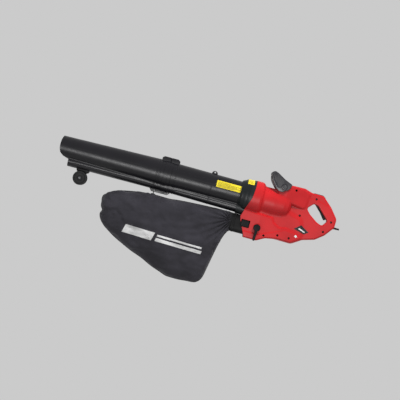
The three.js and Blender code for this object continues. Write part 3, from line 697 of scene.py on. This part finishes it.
def make_half(side, word, outer, core):
    half = link(f"shell_{word}", outer.data.copy())
    clip(half, block("half", 700, 1400, *beside(side, 0.2, 200), -300, 200))
    bosses = []
    for x, z in SCREWS:
        boss = pin("boss", x, z, 6, *beside(side, 0.2, 70))
        bosses.append(clip(boss, link("grow", half.data.copy())))
    carve(half, [link("hollow", core.data.copy())])
    add(half, bosses)
    carve(half, housing_cuts(side))
    hand_over(crisp(half, 32), RED, "body", "housing_red", f"housing_{word}")


def make_housing():
    outer = surface("shell", housing_field, HOUSING_LOW, HOUSING_HIGH, SKIN_STEP)
    core = surface("core", inner_field, HOUSING_LOW, HOUSING_HIGH, CORE_STEP)
    clip(outer, behind_front("front", GAP))
    for side, word in SIDES:
        make_half(side, word, outer, core)
    bpy.data.objects.remove(outer)
    bpy.data.objects.remove(core)


# -------- tubes
MAIN_R = [(0, 47.5), (JOINT_X, 57.5), (JOINT_X + 0.01, 56), (COLLAR_X, 52.5)]
BLOW_Z = [(0, -53), (JOINT_X, -53), (COLLAR_X, -55)]
BLOW_RZ = [(0, 23), (JOINT_X, 23), (COLLAR_X, 27.5)]
BLOW_RY = 30.0
MIDDLES = {"both": -24.0, "main": 0.0, "blow": -54.0}
WIDEST = 140.0                      # a reach that is outside every section


def table(pairs, x):
    return np.interp(x, [p[0] for p in pairs], [p[1] for p in pairs])


def ribs(x, y, z):
    """Height of the moulded lines along the tube's sides."""
    lines = 0.9 * np.exp(-((z + 50) / 2.2) ** 2) - 1.6 * np.exp(-((z + 60) / 2.4) ** 2)
    lines = lines + 0.9 * np.exp(-((z + 69) / 3.0) ** 2)
    seam = -0.5 * np.exp(-((z - 6) / 0.8) ** 2)
    rear = np.clip((x - 512) / 12, 0, 1)
    front = np.clip((430 - x) / 12, 0, 1) * np.clip((x - 60) / 12, 0, 1)
    sides = np.clip((np.abs(y) - 12) / 8, 0, 1)
    return lines * (0.55 * front + rear) * sides + seam * np.minimum(front + rear, 1)


def tube_rings(xs, grow=0.0, detail=False, channel="both", bands=()):
    """Sections of the two channels at each x, as distances out from a middle inside both."""
    angles = turn(TUBE_AROUND)
    x = np.asarray(xs, float)[:, None]
    middle = MIDDLES[channel]
    near = np.zeros((len(xs), TUBE_AROUND))
    far = np.full_like(near, WIDEST)
    for _ in range(34):
        reach = (near + far) / 2
        y, z = reach * np.cos(angles), middle + reach * np.sin(angles)
        main = np.hypot(y, z) - (table(MAIN_R, x) + grow)
        rz = table(BLOW_RZ, x) + grow
        low = (np.hypot(y / (BLOW_RY + grow), (z - table(BLOW_Z, x)) / rz) - 1) * rz
        field = {"both": lambda: join(main, low, 5), "main": lambda: main, "blow": lambda: low}[channel]()
        inside = field < 0
        near, far = np.where(inside, reach, near), np.where(inside, far, reach)
    reach = near
    y, z = reach * np.cos(angles), middle + reach * np.sin(angles)
    if detail:
        reach = reach + ribs(x, y, z)
    for centre, half, height in bands:
        reach = reach + height * np.clip((half - np.abs(x - centre)) / 1.2 + 0.5, 0, 1)
    y, z = reach * np.cos(angles), middle + reach * np.sin(angles)
    return np.stack((np.broadcast_to(x, y.shape), y, z), 2)


def dense(x0, x1, step, extra=()):
    xs = list(np.arange(x0, x1, step)) + [x1]
    for centre, half, _ in extra:
        xs += [centre - half - 0.6, centre - half + 0.6, centre + half - 0.6, centre + half + 0.6]
    return sorted({round(float(v), 3) for v in xs if x0 <= v <= x1})


def bores(x0, x1, shrink):
    main = loft("bore", tube_rings([x0, x1], -shrink, channel="main"))
    keep = loft("keep", tube_rings([x0 - 5, x1 + 5], -shrink + WALL, channel="main"))
    blow = carve(loft("blow", tube_rings([x0, x1], -shrink, channel="blow")), [keep])
    return [main, blow]


MOUTH_CURVE = [(-1, 46), (-4, 27), (-4.5, 8), (-3, -10), (3, -26), (17, -38), (43, -46)]


def make_front_tube():
    bands = ((462, 9, 1.4), (436, 2.5, 1.1), (424, 2.0, 0.8))
    tube = loft("nozzle_tube", tube_rings(dense(-15, JOINT_X, 6, bands), detail=True, bands=bands))
    lock = rounded([(431, 40, 0), (431, 66, 6), (440, LOCK_TOP, 5), (JOINT_X, LOCK_TOP, 0),
                    (JOINT_X, 40, 0)])
    saddle = slab("saddle", lock, -21, 21, 3, 3)
    web = rounded([(404, -70, 0), (418, WEB_LOW, 6), (JOINT_X, WEB_LOW, 0), (JOINT_X, -70, 0)])
    eye = slab("eye", web, -4, 4, 1)
    add(tube, [saddle, eye])
    socket = JOINT_X - SOCKET_DEPTH
    mouth = np.array([(-60, 80), (-1, 80)] + MOUTH_CURVE + [(43, -100), (-60, -100)], float)
    cuts = bores(-20, socket, WALL) + [loft("socket", tube_rings([socket, JOINT_X + 5], -WALL / 2 + GAP))]
    cuts += [slab("mouth", mouth, -80, 80), block("window", *BUTTON_ROOM, -9, 9, 45, 80)]
    cuts.append(pin("hook", *HOOK, 2.6, -10, 10))
    carve(tube, cuts)
    hand_over(crisp(tube, 30), TUBE, "body", "tube_black", "front_tube")


def make_rear_tube():
    start = JOINT_X + GAP
    bands = ((478, 8, 1.6), (506, 2.2, 1.0), (662, 1.6, 0.7), (790, 3, 0.9))
    tube = loft("motor_tube", tube_rings(dense(start, COLLAR_X, 6, bands), detail=True, bands=bands))
    spigot = tube_rings(dense(JOINT_X - SOCKET_DEPTH + 1, start + 0.5, 8), -WALL / 2 - 0.1)
    tail = tube_rings([COLLAR_X - 0.5, COLLAR_X + PLUG_DEPTH], -WALL / 2 - 0.1)
    eye = pin("eye", STRAP_EYE[0], STRAP_EYE[1] - 6, 12.5, -5, 5, 48)
    round_edges(eye, 1.2, 3)
    lock = rounded([(start, 40, 0), (start, LOCK_TOP, 0), (500, LOCK_TOP, 5), (509, 66, 6), (509, 40, 0)])
    saddle = slab("saddle", lock, -21, 21, 3, 3)
    web = rounded([(start, -70, 0), (start, WEB_LOW, 0), (488, WEB_LOW, 5), (506, -70, 0)])
    heel = slab("heel", web, -4, 4, 1)
    add(tube, [loft("spigot", spigot), loft("tail", tail), eye, saddle, heel])
    cuts = bores(JOINT_X - SOCKET_DEPTH - 2, COLLAR_X + 30, WALL + 1)
    cuts.append(pin("eye_hole", *STRAP_EYE, 3.4, -20, 20, 24))
    cuts.append(block("button_room", *BUTTON_ROOM, -10, 10, 30, 72))
    carve(tube, cuts)
    hand_over(crisp(tube, 30), TUBE, "body", "tube_black", "rear_tube")


def make_collar():
    flare = [(790, 57), (796, 60), (799, 62), (801, 62), (812, 68.6), (819, 70.6), (823, 70.8),
             (825, 69.6), (829, 69.6), (831, 71), (856, 71)]
    angles = turn(TUBE_AROUND)
    c, s = np.cos(angles), np.sin(angles)
    top, low = [], []
    for x, r in flare:
        t = (x - flare[0][0]) / 66
        flat = np.full(len(angles), float(x))
        top.append(np.column_stack((flat, r * c, r * s)))
        low.append(np.column_stack((flat, (34 + 4 * t) * c, -56 - 2 * t + (31.3 + 5.9 * t) * s)))
    body = add(loft("tube_flange", top), [loft("low", low)])
    clip(body, block("keep", 780, 870, -80, 80, -86.3, 75))
    deep = COLLAR_X + PLUG_DEPTH
    cuts = [behind_front("front", 0), loft("seat", tube_rings([780, COLLAR_X], GAP)),
            loft("socket", tube_rings([COLLAR_X - 0.1, deep + 1], -WALL / 2 + GAP)),
            rod_x("throat", deep, 870, 45, 0, 96), block("air", deep, 870, -26, 26, -72, -52)]
    carve(body, cuts)
    hand_over(crisp(body, 32), COLLAR, "body", "collar_black", "tube_collar")


# -------- sweeps, patches and small helpers
def sweep(name, path, radius, sides=12, closed=False):
    """A round cord of the radius, or of one radius per point, along a path in tool millimetres."""
    path = np.asarray(path, float)
    radii = np.broadcast_to(np.asarray(radius, float), (len(path),))
    ahead = np.roll(path, -1, 0) - np.roll(path, 1, 0)
    if not closed:
        ahead[0], ahead[-1] = path[1] - path[0], path[-1] - path[-2]
    ahead /= np.linalg.norm(ahead, axis=1, keepdims=True)
    side = np.cross(ahead[0], [0, 0, 1] if abs(ahead[0][2]) < 0.9 else [1, 0, 0])
    angles = turn(sides)
    rings = []
    for point, forward, size in zip(path, ahead, radii):
        side = side - forward * (side @ forward)
        side /= np.linalg.norm(side)
        up = np.cross(forward, side)
        rings.append(point + size * (np.outer(np.cos(angles), side) + np.outer(np.sin(angles), up)))
    return loft(name, rings, "joined" if closed else "flat")


def between(points, slopes, count):
    """Even points on the cubic curve with the given slope at each point."""
    t = np.linspace(0, len(points) - 1, count)
    i = np.minimum(t.astype(int), len(points) - 2)
    f = (t - i)[:, None]
    return ((2 * f ** 3 - 3 * f ** 2 + 1) * points[i] + (f ** 3 - 2 * f ** 2 + f) * slopes[i]
            + (3 * f ** 2 - 2 * f ** 3) * points[i + 1] + (f ** 3 - f ** 2) * slopes[i + 1])


def curve(points, count=40):
    """Even points on a smooth line through the given ones."""
    points = np.asarray(points, float)
    before = np.vstack((2 * points[:1] - points[1:2], points[:-1]))
    after = np.vstack((points[1:], 2 * points[-1:] - points[-2:-1]))
    return between(points, (after - before) / 2, count)


def sideways(x, z):
    """A ray in from the left side, for patch()."""
    return (x, -200, z), (0, 1, 0)


def inwards(x, angle):
    """A ray from the left towards the shared axis, the angle in degrees above level, for patch()."""
    c, s = math.cos(math.radians(angle)), math.sin(math.radians(angle))
    return (x, -150 * c, 150 * s), (0, c, -s)


def patch(name, target, corners, ray, lift, columns=24, rows=8):
    """A thin four-cornered sheet that lies on the target's skin where the rays meet it."""
    tree = BVHTree.FromPolygons([v.co.copy() for v in target.data.vertices],
                                [tuple(p.vertices) for p in target.data.polygons])
    (ax, az), (bx, bz), (cx, cz), (dx, dz) = corners
    outer, under = [], []
    for j in range(rows + 1):
        for i in range(columns + 1):
            u, v = i / columns, j / rows
            x = (ax * (1 - u) + bx * u) * (1 - v) + (dx * (1 - u) + cx * u) * v
            z = (az * (1 - u) + bz * u) * (1 - v) + (dz * (1 - u) + cz * u) * v
            start, direction = ray(x, z)
            spot, normal = tree.ray_cast(Vector(place(start)), Vector(direction))[:2]
            if spot is None:
                raise ValueError(f"{name} misses what it lies on at {x:.0f}, {z:.0f}")
            normal = normal if normal.dot(Vector(direction)) < 0 else -normal
            outer.append(spot + normal * lift / 1000)
            under.append(spot - normal * 0.0003)
    wide, total = columns + 1, len(outer)
    faces = []
    for j in range(rows):
        for i in range(columns):
            quad = [j * wide + i, j * wide + i + 1, (j + 1) * wide + i + 1, (j + 1) * wide + i]
            faces += [quad, [total + k for k in quad[::-1]]]
    rim = list(range(columns)) + [j * wide + columns for j in range(rows)]
    rim += [rows * wide + i for i in range(columns, 0, -1)] + [j * wide for j in range(rows, 0, -1)]
    for k, here in enumerate(rim):
        there = rim[(k + 1) % len(rim)]
        faces.append([there, here, here + total, there + total])
    mesh = bpy.data.meshes.new(name)
    mesh.from_pydata([tuple(p) for p in outer + under], [], faces)
    mesh.update()
    obj = link(name, mesh)
    face_out(obj)
    return crisp(obj, 50)


def rounded_tube(name, sections, radius):
    """Rounded-rectangle sections of (x, half width, top, bottom) along the tool."""
    rings = []
    for x, half, top, bottom in sections:
        ring = bar(-half, half, bottom, top, radius, 8)
        rings.append(np.column_stack((np.full(len(ring), x), ring)))
    return loft(name, rings)


def lobed(name, centre, profile, grip):
    """A knob about a Y axis: sections of (y, radius, wave), pulled in by the wave where grip is 1."""
    angles = turn(len(grip))
    rings = []
    for y, radius, wave in profile:
        r = radius - wave * grip
        rings.append(np.column_stack((centre[0] + r * np.cos(angles), np.full(len(grip), y),
                                      centre[1] + r * np.sin(angles))))
    return loft(name, rings)


def ridge(x, width, foot, top, y0, y1, soft):
    """One small raised rib along Y, from its foot to its rounded top."""
    outline = [(x, foot, soft), (x, top, 0.6), (x + width, top, 0.6), (x + width, foot, soft)]
    return slab("ridge", rounded(outline, 3), y0, y1)


# -------- wheels and bracket
TYRE = [(8.5, AXLE_R), (8.5, 9), (11.5, 11), (11.5, 21), (9, 24), (8.5, 27.5), (9.2, 29.2), (10.6, 30),
        (14.4, 30), (15, 29), (16, 29), (16.6, 30), (20.4, 30), (21.8, 29.2), (22.5, 27.5), (22, 24),
        (19.5, 21), (19.5, 11), (22.5, 9), (22.5, AXLE_R), (8.5, AXLE_R)]


def spoke(side, angle):
    along = np.array([math.cos(angle), math.sin(angle)])
    wide = 1.6 * np.array([-math.sin(angle), math.cos(angle)])
    a, b = 8 * along, 23 * along
    outline = np.array([a - wide, b - wide, b + wide, a + wide]) + WHEEL_AT
    return slab("spoke", outline, *beside(side, 10.5, 21))


def make_wheels():
    for side, word in SIDES:
        profile = [(along * side, r) for along, r in TYRE]
        tyre = revolve(f"tyre_{word}", profile, "y", (WHEEL_AT[0], 0, WHEEL_AT[1]), 96)
        add(tyre, [spoke(side, k * math.pi / 3) for k in range(6)])
        carve(tyre, [pin("bore", *WHEEL_AT, AXLE_R, -40, 40)])
        hand_over(crisp(tyre, 35), WHEEL, f"wheel_{word}", "wheel_black", f"wheel_{word}")


def make_bracket():
    shape = [(86, -70, 0), (86, -82, 4), (98, -96, 6), (98, -121, 8), (120, -121, 8), (120, -96, 6),
             (141, -82, 4), (141, -70, 0)]
    fork = slab("wheel_fork", rounded(shape), -7.5, 7.5, 1.4, 3)
    saddle = block("saddle", 86, 141, -16, 16, -80.5, -62)
    round_edges(saddle, 1.5, 3)
    add(fork, [saddle])
    seat = loft("seat", tube_rings([60, 180], GAP, detail=True))
    carve(fork, [seat, pin("bore", *WHEEL_AT, AXLE_R, -30, 30)])
    hand_over(crisp(fork), TRIM, "body", "trim_black", "wheel_bracket")


# -------- bag neck, its catches and the selector
def make_adapter():
    shape = [(786, 33, -87, -166), (792, 33.6, -87, -166), (793, 34.6, -86.6, -167), (799, 35, -86.6, -167),
             (800, 34.4, -87, -166), (846, 38, -87, -166)]
    body = rounded_tube("bag_socket", shape, 22)
    carve(body, [behind_front("front", -0.6)])
    add(body, [rounded_tube("spigot", [(812, 31, -93, -160), (862, 31, -93, -160)], 18)])
    x0, x1, z0, z1 = CATCH_ROOM
    pockets = [block(word, x0 - 1, x1 + 1, *beside(side, 35.4, 60), z0 - 1, z1 + 1) for side, word in SIDES]
    bore = rounded_tube("bore", [(780, 28, -96, -157), (880, 28, -96, -157)], 16)
    carve(body, [bore] + pockets)
    hand_over(crisp(body), TRIM, "body", "trim_black", "bag_adapter")


def make_catches():
    x0, x1, z0, z1 = CATCH_ROOM
    for side, word in SIDES:
        face = bar(x0 + 1.5, x1 - 2, z1 - 2, z0 + 2, 7, 8)
        catch = slab(f"catch_{word}", face, *beside(side, 39, 48), 2, 3)
        ribs_on = [slab("rib", bar(x, x + 2.6, -109, -127, 1, 3), *beside(side, 45, 49), 0.6, 2)
                   for x in range(834, 853, 6)]
        add(catch, ribs_on)
        hand_over(crisp(catch), TRIM, f"bag_latch_{word}", "trim_black", f"bag_latch_{word}")


def make_selector():
    x, z = KNOB
    profile = [(-63, 12.5, 0), (-62.6, 13.6, 0.1), (-61.5, 15.2, 0.5), (-58, 15.6, 0.7), (-51, 15.6, 0.7),
               (-50, 15, 0.4)]
    knob = lobed("selector_dial", KNOB, profile, (0.5 + 0.5 * np.cos(12 * turn(144))) ** 2)
    arm = rounded([(x - 6, z + 8, 4), (x - 6.5, -180, 5), (x + 3.5, -180, 5), (x + 7, z + 8, 4)])
    lever = slab("lever", arm, -62, -53, 1.6, 3)
    line = rounded([(x - 1.6, z - 4, 1), (x - 2.6, -176, 1), (x - 0.2, -176, 1), (x + 1.6, z - 4, 1)])
    crest = slab("crest", line, -63, -60, 0.5)
    add(knob, [lever, crest])
    carve(knob, [pin("bore", x, z, 4.1, -56, -40)])
    hand_over(crisp(knob), TRIM, "selector", "trim_black", "selector_knob")


# -------- handles
LEG = [(931, 62, 30), (948, 51, 14), (964, 52, 14), (990, 70, 14), (998, 91, 8), (962, 106, 60),
       (926, 127, 8), (908, 132, 8), (903, 112, 14), (911, 88, 40)]
LEG_FRONT = [(915, 124), (909.5, 110), (915, 91), (931, 72), (948, 60)]
LEG_POCKET = [(926, 112, 8), (924, 92, 16), (944, 76, 10), (956, 92, 10), (944, 104, 20)]


def handle_leg(side):
    leg = slab("leg", rounded(LEG, 10), *beside(side, 46, 54), 2.4, 4)
    pocket = slab("pocket", rounded(LEG_POCKET, 8), *beside(side, 52, 60))
    return carve(leg, [pocket])


def make_front_handle():
    profile = [(-47, 0), (-47, 11), (-44, 12)]
    for y in np.arange(-42, 39, 6.0):
        profile += [(y, 12), (y + 0.8, 11.2), (y + 2.2, 11.2), (y + 3, 12)]
    profile += [(44, 12), (47, 11), (47, 0)]
    handle = revolve("front_handle", profile, "y", (BAR_AT[0], 0, BAR_AT[1]), 64)
    thickness = np.interp(np.linspace(0, 1, 40), [0, 0.1, 0.8, 1], [3, 6, 5.4, 3])
    pieces = []
    for side in (-1, 1):
        pieces.append(handle_leg(side))
        rim = curve([(x, 50 * side, z) for x, z in LEG_FRONT], len(thickness))
        pieces.append(sweep("rim", rim, thickness, 24))
    add(handle, pieces)
    inside = block("inside", 900, 960, -45.9, 45.9, 50, 106)
    carve(handle, [pin("pivot", *PIVOT, 4.4, -80, 80), inside])
    hand_over(crisp(handle, 40), HANDLE, "aux_handle", "handle_black", "aux_handle")


def make_clamps():
    profile = [(46, 3.8, 0), (54.4, 3.8, 0), (54.4, 12.6, 0.4), (55.4, 13.8, 1.2), (61.5, 13.2, 1.4),
               (63.6, 11.6, 0.8), (64.6, 9, 0.2), (64.2, 6.5, 0), (63.4, 6, 0)]
    grip = (0.5 - 0.5 * np.cos(6 * turn(120))) ** 3
    for side, word in SIDES:
        turned = [(y * side, radius, wave) for y, radius, wave in profile]
        knob = lobed(f"clamp_{word}", PIVOT, turned, grip)
        hand_over(crisp(knob), HANDLE, f"knob_{word}", "handle_black", f"handle_knob_{word}")


def make_trigger():
    shape = [(1112, 41, 3), (1144, 9, 50), (1167, -20, 4), (1184, -7, 3), (1130, 50, 4)]
    trigger = slab("switch_trigger", rounded(shape, 12), -10, 10, 2, 4)
    rests = ((1130, 21), (1138, 12.5), (1146, 3), (1153, -5.5))
    grooves = [pin("groove", x, z, 1.3, -12, 12, 16) for x, z in rests]
    carve(trigger, grooves + [pin("bore", 1126, 44, 2.3, -20, 20, 24)])
    hand_over(crisp(trigger), TRIM, "trigger", "trim_black", "trigger")


def make_palm_pad():
    shape = [(1097, 79, 1), (1100, 83, 2), (1140, 82.4, 3), (1152, 74, 2), (1148, 71, 1), (1138, 78.4, 3)]
    pad = slab("palm_pad", rounded(shape), -11, 11, 0.6)
    add(pad, [ridge(x, 1.6, 80, 83.6, -9, 9, 0.3) for x in range(1103, 1136, 4)])
    hand_over(crisp(pad), RUBBER, "body", "soft_rubber", "grip_pad")


def make_cord_boot():
    profile = [(1204, 3.2), (1204, 7), (1207, 7), (1207, 5.2)]
    for x in np.arange(1210.0, 1238, 4):
        r = 5.4 - (x - 1210) * 0.055
        profile += [(x, r), (x + 0.4, r - 1), (x + 1.6, r - 1.05), (x + 2, r - 0.1)]
    profile += [(1241, 3.9), (1242, 3.6), (1242, 3.2), (1204, 3.2)]
    boot = revolve("cord_boot", profile, "x", (0, 0, CORD_Z), 48)
    hand_over(crisp(boot), RUBBER, "body", "soft_rubber", "strain_relief")


def make_tube_button():
    x0, x1 = BUTTON_ROOM[0] + 1, BUTTON_ROOM[1] - 1
    shape = [(x0, 58, 0), (x0, 71, 2), (x1, 71, 2), (x1, 58, 0)]
    button = slab("tube_button", rounded(shape), -8.2, 8.2, 1.2, 3)
    add(button, [ridge(x, 1.8, 69, 72, -6, 6, 0.4) for x in (448, 452, 456, 459.2)])
    hand_over(crisp(button), TRIM, "tube_latch", "trim_black", "tube_latch")


def make_screws():
    profile = [(-10.8, 0), (-10.8, 2.6), (-10.2, 3.8), (-9.4, 4.3), (-8.3, 4.3), (-8.3, 2), (14, 2),
               (15, 1.2), (15, 0)]
    for i, (x, z) in enumerate(SCREWS):
        screw = revolve(f"case_screw_{i + 1}", profile, "y", (x, 0, z), 32)
        for a, b in ((2.4, 0.5), (0.5, 2.4)):
            arm = np.array([(x - a, z - b), (x + a, z - b), (x + a, z + b), (x - a, z + b)])
            carve(screw, [slab("arm", arm, -12, -9.6)])
        hand_over(crisp(screw), DARK_STEEL, "body", "steel", f"housing_screw_{i + 1}")


# -------- bag
# x, top, bottom and half width of the bag's sections, from its closed end to its neck
BAG = np.array([[225, -160, -176, 5], [228, -155, -222, 16], [233, -151, -245, 28], [240, -146, -259, 38],
                [260, -132, -281, 50], [280, -124, -295, 58], [320, -114, -319, 68], [360, -107, -338, 73],
                [400, -102, -356, 76], [450, -100, -374, 77], [500, -101, -397, 77], [540, -97, -411, 76],
                [580, -94, -423, 73], [620, -92, -424, 69], [660, -90, -421, 62], [692, -89, -419, 56],
                [710, -88, -411, 50], [724, -88, -392, 47], [738, -88, -325, 43], [752, -88, -252, 40],
                [764, -88, -204, 37], [775, -88, -178, 35], [785.6, -88, -167, 34]])
PRINTS = {
    "print_block": [(344, -286), (474, -290), (484, -254), (354, -250)],
    "print_line": [(494, -267), (690, -272), (692, -264), (496, -259)],
    "print_bar": [(490, -288), (692, -294), (695, -280), (493, -274)],
}


def bag_sections(count):
    """Outline values at even steps along the bag, on curves that never overshoot."""
    steps = np.diff(BAG, axis=0)
    slopes = np.zeros_like(BAG)
    product = steps[:-1] * steps[1:]
    slopes[1:-1] = np.where(product > 0, 2 * product / np.where(product > 0, steps[:-1] + steps[1:], 1), 0)
    slopes[0], slopes[-1] = steps[0], steps[-1]
    return between(BAG, slopes, count)


def fractal_noise(spot):
    return noise_at(spot) + 0.5 * noise_at(spot * 2.1) + 0.25 * noise_at(spot * 4.3)


def bag_grid():
    """The bag's skin as a grid of points along and around it, sagging and creased."""
    sections = bag_sections(BAG_ALONG)
    angles = turn(BAG_AROUND)
    c, s = np.cos(angles), np.sin(angles)
    x, top, bottom, half = (sections[:, k, None] for k in range(4))
    tall = (top - bottom) / 2
    y = half * np.sign(c) * np.abs(c) ** 0.95
    z = (top + bottom) / 2 + tall * (np.sign(s) * np.abs(s) ** 0.92 + 0.12 * c * c)
    x = np.broadcast_to(x, y.shape).copy()
    grid = np.stack((x, y, z), 2)
    along = np.gradient(grid, axis=0)
    across = np.roll(grid, -1, 1) - np.roll(grid, 1, 1)
    normal = np.cross(across, along)
    normal /= np.maximum(np.linalg.norm(normal, axis=2, keepdims=True), 1e-6)
    middle = np.stack((x, np.zeros_like(y), np.broadcast_to((top + bottom) / 2, y.shape)), 2)
    normal *= np.sign(((grid - middle) * normal).sum(2).mean())
    reach = np.hypot(NECK[0] - x, z - NECK[1])
    bearing = np.arctan2(NECK[1] - z, NECK[0] - x)
    neck = np.clip((NECK[0] - 2 - x) / 14, 0, 1)
    sides = np.clip(np.abs(y) / 18, 0, 1)
    rough = np.empty(y.shape)
    small = np.empty(y.shape)
    for index in np.ndindex(y.shape):
        px, py, pz = grid[index]
        rough[index] = fractal_noise(Vector((px / 95, py / 120, pz / 62)))
        small[index] = fractal_noise(Vector((px / 34 + 7, py / 60, pz / 17 + 3)))
    gathers = np.sin(bearing * 26 + 3.2 * rough) * (4.6 * np.exp(-reach / 150) + 0.7)
    drapes = np.sin((z + 0.42 * x) / 15.5 + 4.5 * rough) * 2.2 * np.exp(-((x - 250) / 120) ** 2)
    pull = np.arctan2(-(z + 70), x - 436)
    drags = np.sin(pull * 11 + 4.0 * rough) * 2.6 * np.exp(-np.hypot(x - 436, z + 90) / 110)
    folds = neck * sides * (gathers + drapes + drags + 7.0 * rough + 1.8 * small)
    ridge = 2.4 * np.exp(-((z - (-236 - 0.1 * (x - 420))) / 26) ** 2) * np.clip((690 - x) / 80, 0, 1)
    cuff = 2.0 * np.abs(np.sin(12 * angles)) * np.clip((x - 742) / 14, 0, 1) * neck
    grid = grid + normal * (folds + ridge * sides - cuff)[:, :, None]
    dent = 9 * np.exp(-((grid[:, :, 2] + 219) / 11) ** 2) * np.exp(-np.clip(x - 232, 0, None) / 10)
    grid[:, :, 0] += dent
    return grid


def make_bag():
    grid = bag_grid()
    bag = loft("leaf_bag", grid, "open")
    bm = bmesh.new()
    bm.from_mesh(bag.data)
    bm.verts.ensure_lookup_table()
    bm.faces.new([bm.verts[i] for i in range(BAG_AROUND)])
    bmesh.ops.recalc_face_normals(bm, faces=bm.faces)
    bm.to_mesh(bag.data)
    bm.free()
    wall = bag.modifiers.new("wall", "SOLIDIFY")
    wall.thickness = CLOTH_THICKNESS
    wall.offset = -1
    apply_all(bag)
    bag.data.shade_smooth()
    hand_over(bag, CLOTH, "body", "bag_cloth", "bag_fabric")
    return bag, grid


def make_bag_trim(grid):
    """Piped seams along the top, the bottom and the closed end, and the elastic band at the neck."""
    quarter = BAG_AROUND // 4
    top = sweep("seam_top", grid[2:-14, quarter] + [0, 0, 0.5], 1.5, 10)
    bottom = sweep("seam_bottom", grid[2:-8, 3 * quarter] - [0, 0, 0.5], 1.5, 10)
    tip = grid[1]
    front = sweep("seam_front", tip + (tip - tip.mean(0)) * 0.02 - [0.5, 0, 0], 1.4, 10, closed=True)
    hem = grid[-1]
    folds = [(-15, -0.2), (-15, 1.0), (-12, 1.5), (-9.5, 1.0), (-7, 1.6), (-4.5, 1.0), (-2, 1.5),
             (-0.1, 1.0), (-0.1, -0.9)]
    outward = (hem - hem.mean(0)) * [0, 1 / 34, 1 / 39]
    band = [hem + [dx, 0, 0] + outward * grow for dx, grow in folds]
    cuff = crisp(loft("neck_band", band, "open"), 60)
    for piece in (top, bottom, front, cuff):
        hand_over(piece, WEBBING, "body", "webbing")


def make_prints(bag):
    for name, corners in PRINTS.items():
        hand_over(patch(name, bag, corners, sideways, 0.35, 60, 12), PRINT, "body", "bag_cloth")


def make_hook():
    """The wire ring through the tube's hook eye, and the webbing tab that ties it to the bag."""
    path = [(HOOK[0], 8 * math.sin(a), HOOK[1] - 8 + 8 * math.cos(a)) for a in turn(48)]
    ring = sweep("hook_ring", path, 1.4, 14, closed=True)
    hand_over(ring, DARK_STEEL, "body", "steel", "bag_hook")
    shape = [(424, -95, 3), (436, -95, 3), (448, -103, 3), (446, -107, 2), (416, -107, 2), (415, -103, 3)]
    tab = slab("hook_tab", rounded(shape), -9, 9, 0.8)
    carve(tab, [pin("loop", HOOK[0], HOOK[1] - 16.4, 2.2, -20, 20, 24)])
    hand_over(crisp(tab), WEBBING, "body", "webbing")


# -------- labels and badge
# A yellow label: its piece, what it lies on, its x range and range of angles in degrees above level, its
# lift, columns and rows, and its plain lines (x range and lowest angle) with their columns.
LABELS = [
    ("tube_label", "motor_tube", (683, 794, 2.5, 35), 0.35, 30, 14,
     [(688, 762, 7), (688, 788, 12), (688, 770, 17), (688, 788, 22), (688, 742, 27)], 20),
    ("collar_label", "tube_flange", (812.5, 840, 44, 82), 0.4, 14, 16,
     [(817, 836, 50), (817, 832, 56), (817, 836, 62)], 8),
]
LINE_HEIGHT = 1.6
BADGE = [
    ("badge_rim", DARK_STEEL, [(1052, -86), (1098, -99), (1117, -87), (1078.5, -64)], 0.8, 16, 12),
    ("badge_face", INK, [(1053, -86), (1098, -98.2), (1115.8, -87), (1078.6, -65)], 1.3, 16, 12),
    ("badge_stripe", WHITE, [(1069, -82.5), (1098, -92.5), (1101, -89), (1074, -78)], 1.6, 12, 4),
    ("rating_dot", WHITE, [(1060, -117), (1068, -123), (1074, -117), (1066, -110)], 0.6, 10, 10),
]


def corners_of(x0, x1, z0, z1):
    return [(x0, z0), (x1, z0), (x1, z1), (x0, z1)]


def make_labels():
    for name, under, edges, lift, columns, rows, lines, line_columns in LABELS:
        label = patch(name, bpy.data.objects[under], corners_of(*edges), inwards, lift, columns, rows)
        hand_over(label, YELLOW, "body")
        for k, (x0, x1, low) in enumerate(lines):
            corners = corners_of(x0, x1, low, low + LINE_HEIGHT)
            line = patch(f"{name}_line_{k + 1}", label, corners, inwards, 0.12, line_columns, 2)
            hand_over(line, INK, "body")


def make_badge():
    shell = bpy.data.objects["shell_left"]
    for name, material, corners, lift, columns, rows in BADGE:
        hand_over(patch(name, shell, corners, sideways, lift, columns, rows), material, "body")


make_camera()
make_stage()
make_housing()
make_front_tube()
make_rear_tube()
make_collar()
make_wheels()
make_bracket()
make_adapter()
make_catches()
make_selector()
make_front_handle()
make_clamps()
make_trigger()
make_palm_pad()
make_cord_boot()
make_tube_button()
make_screws()
leaf_bag, bag_skin = make_bag()
make_bag_trim(bag_skin)
make_prints(leaf_bag)
make_hook()
make_labels()
make_badge()

CAD_LOOKS = {
    DARK_STEEL: ["wheel_axle"],
    STEEL: ["shredder_blade", "impeller_nut", "motor_shaft", "front_bearing", "rear_bearing",
            "handle_bolt", "selector_shaft", "trigger_pin"],
    IRON: ["armature_core", "stator_core"],
    COPPER: ["armature_winding", "commutator", "field_coil_left", "field_coil_right"],
    BRASS: ["brush_left", "brush_right"],
    NYLON: ["impeller", "motor_fan", "front_shield", "rear_shield", "diverter_flap", "trigger_switch"],
}
for look, names in CAD_LOOKS.items():
    for name in names:
        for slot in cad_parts[name].material_slots:
            slot.material = look
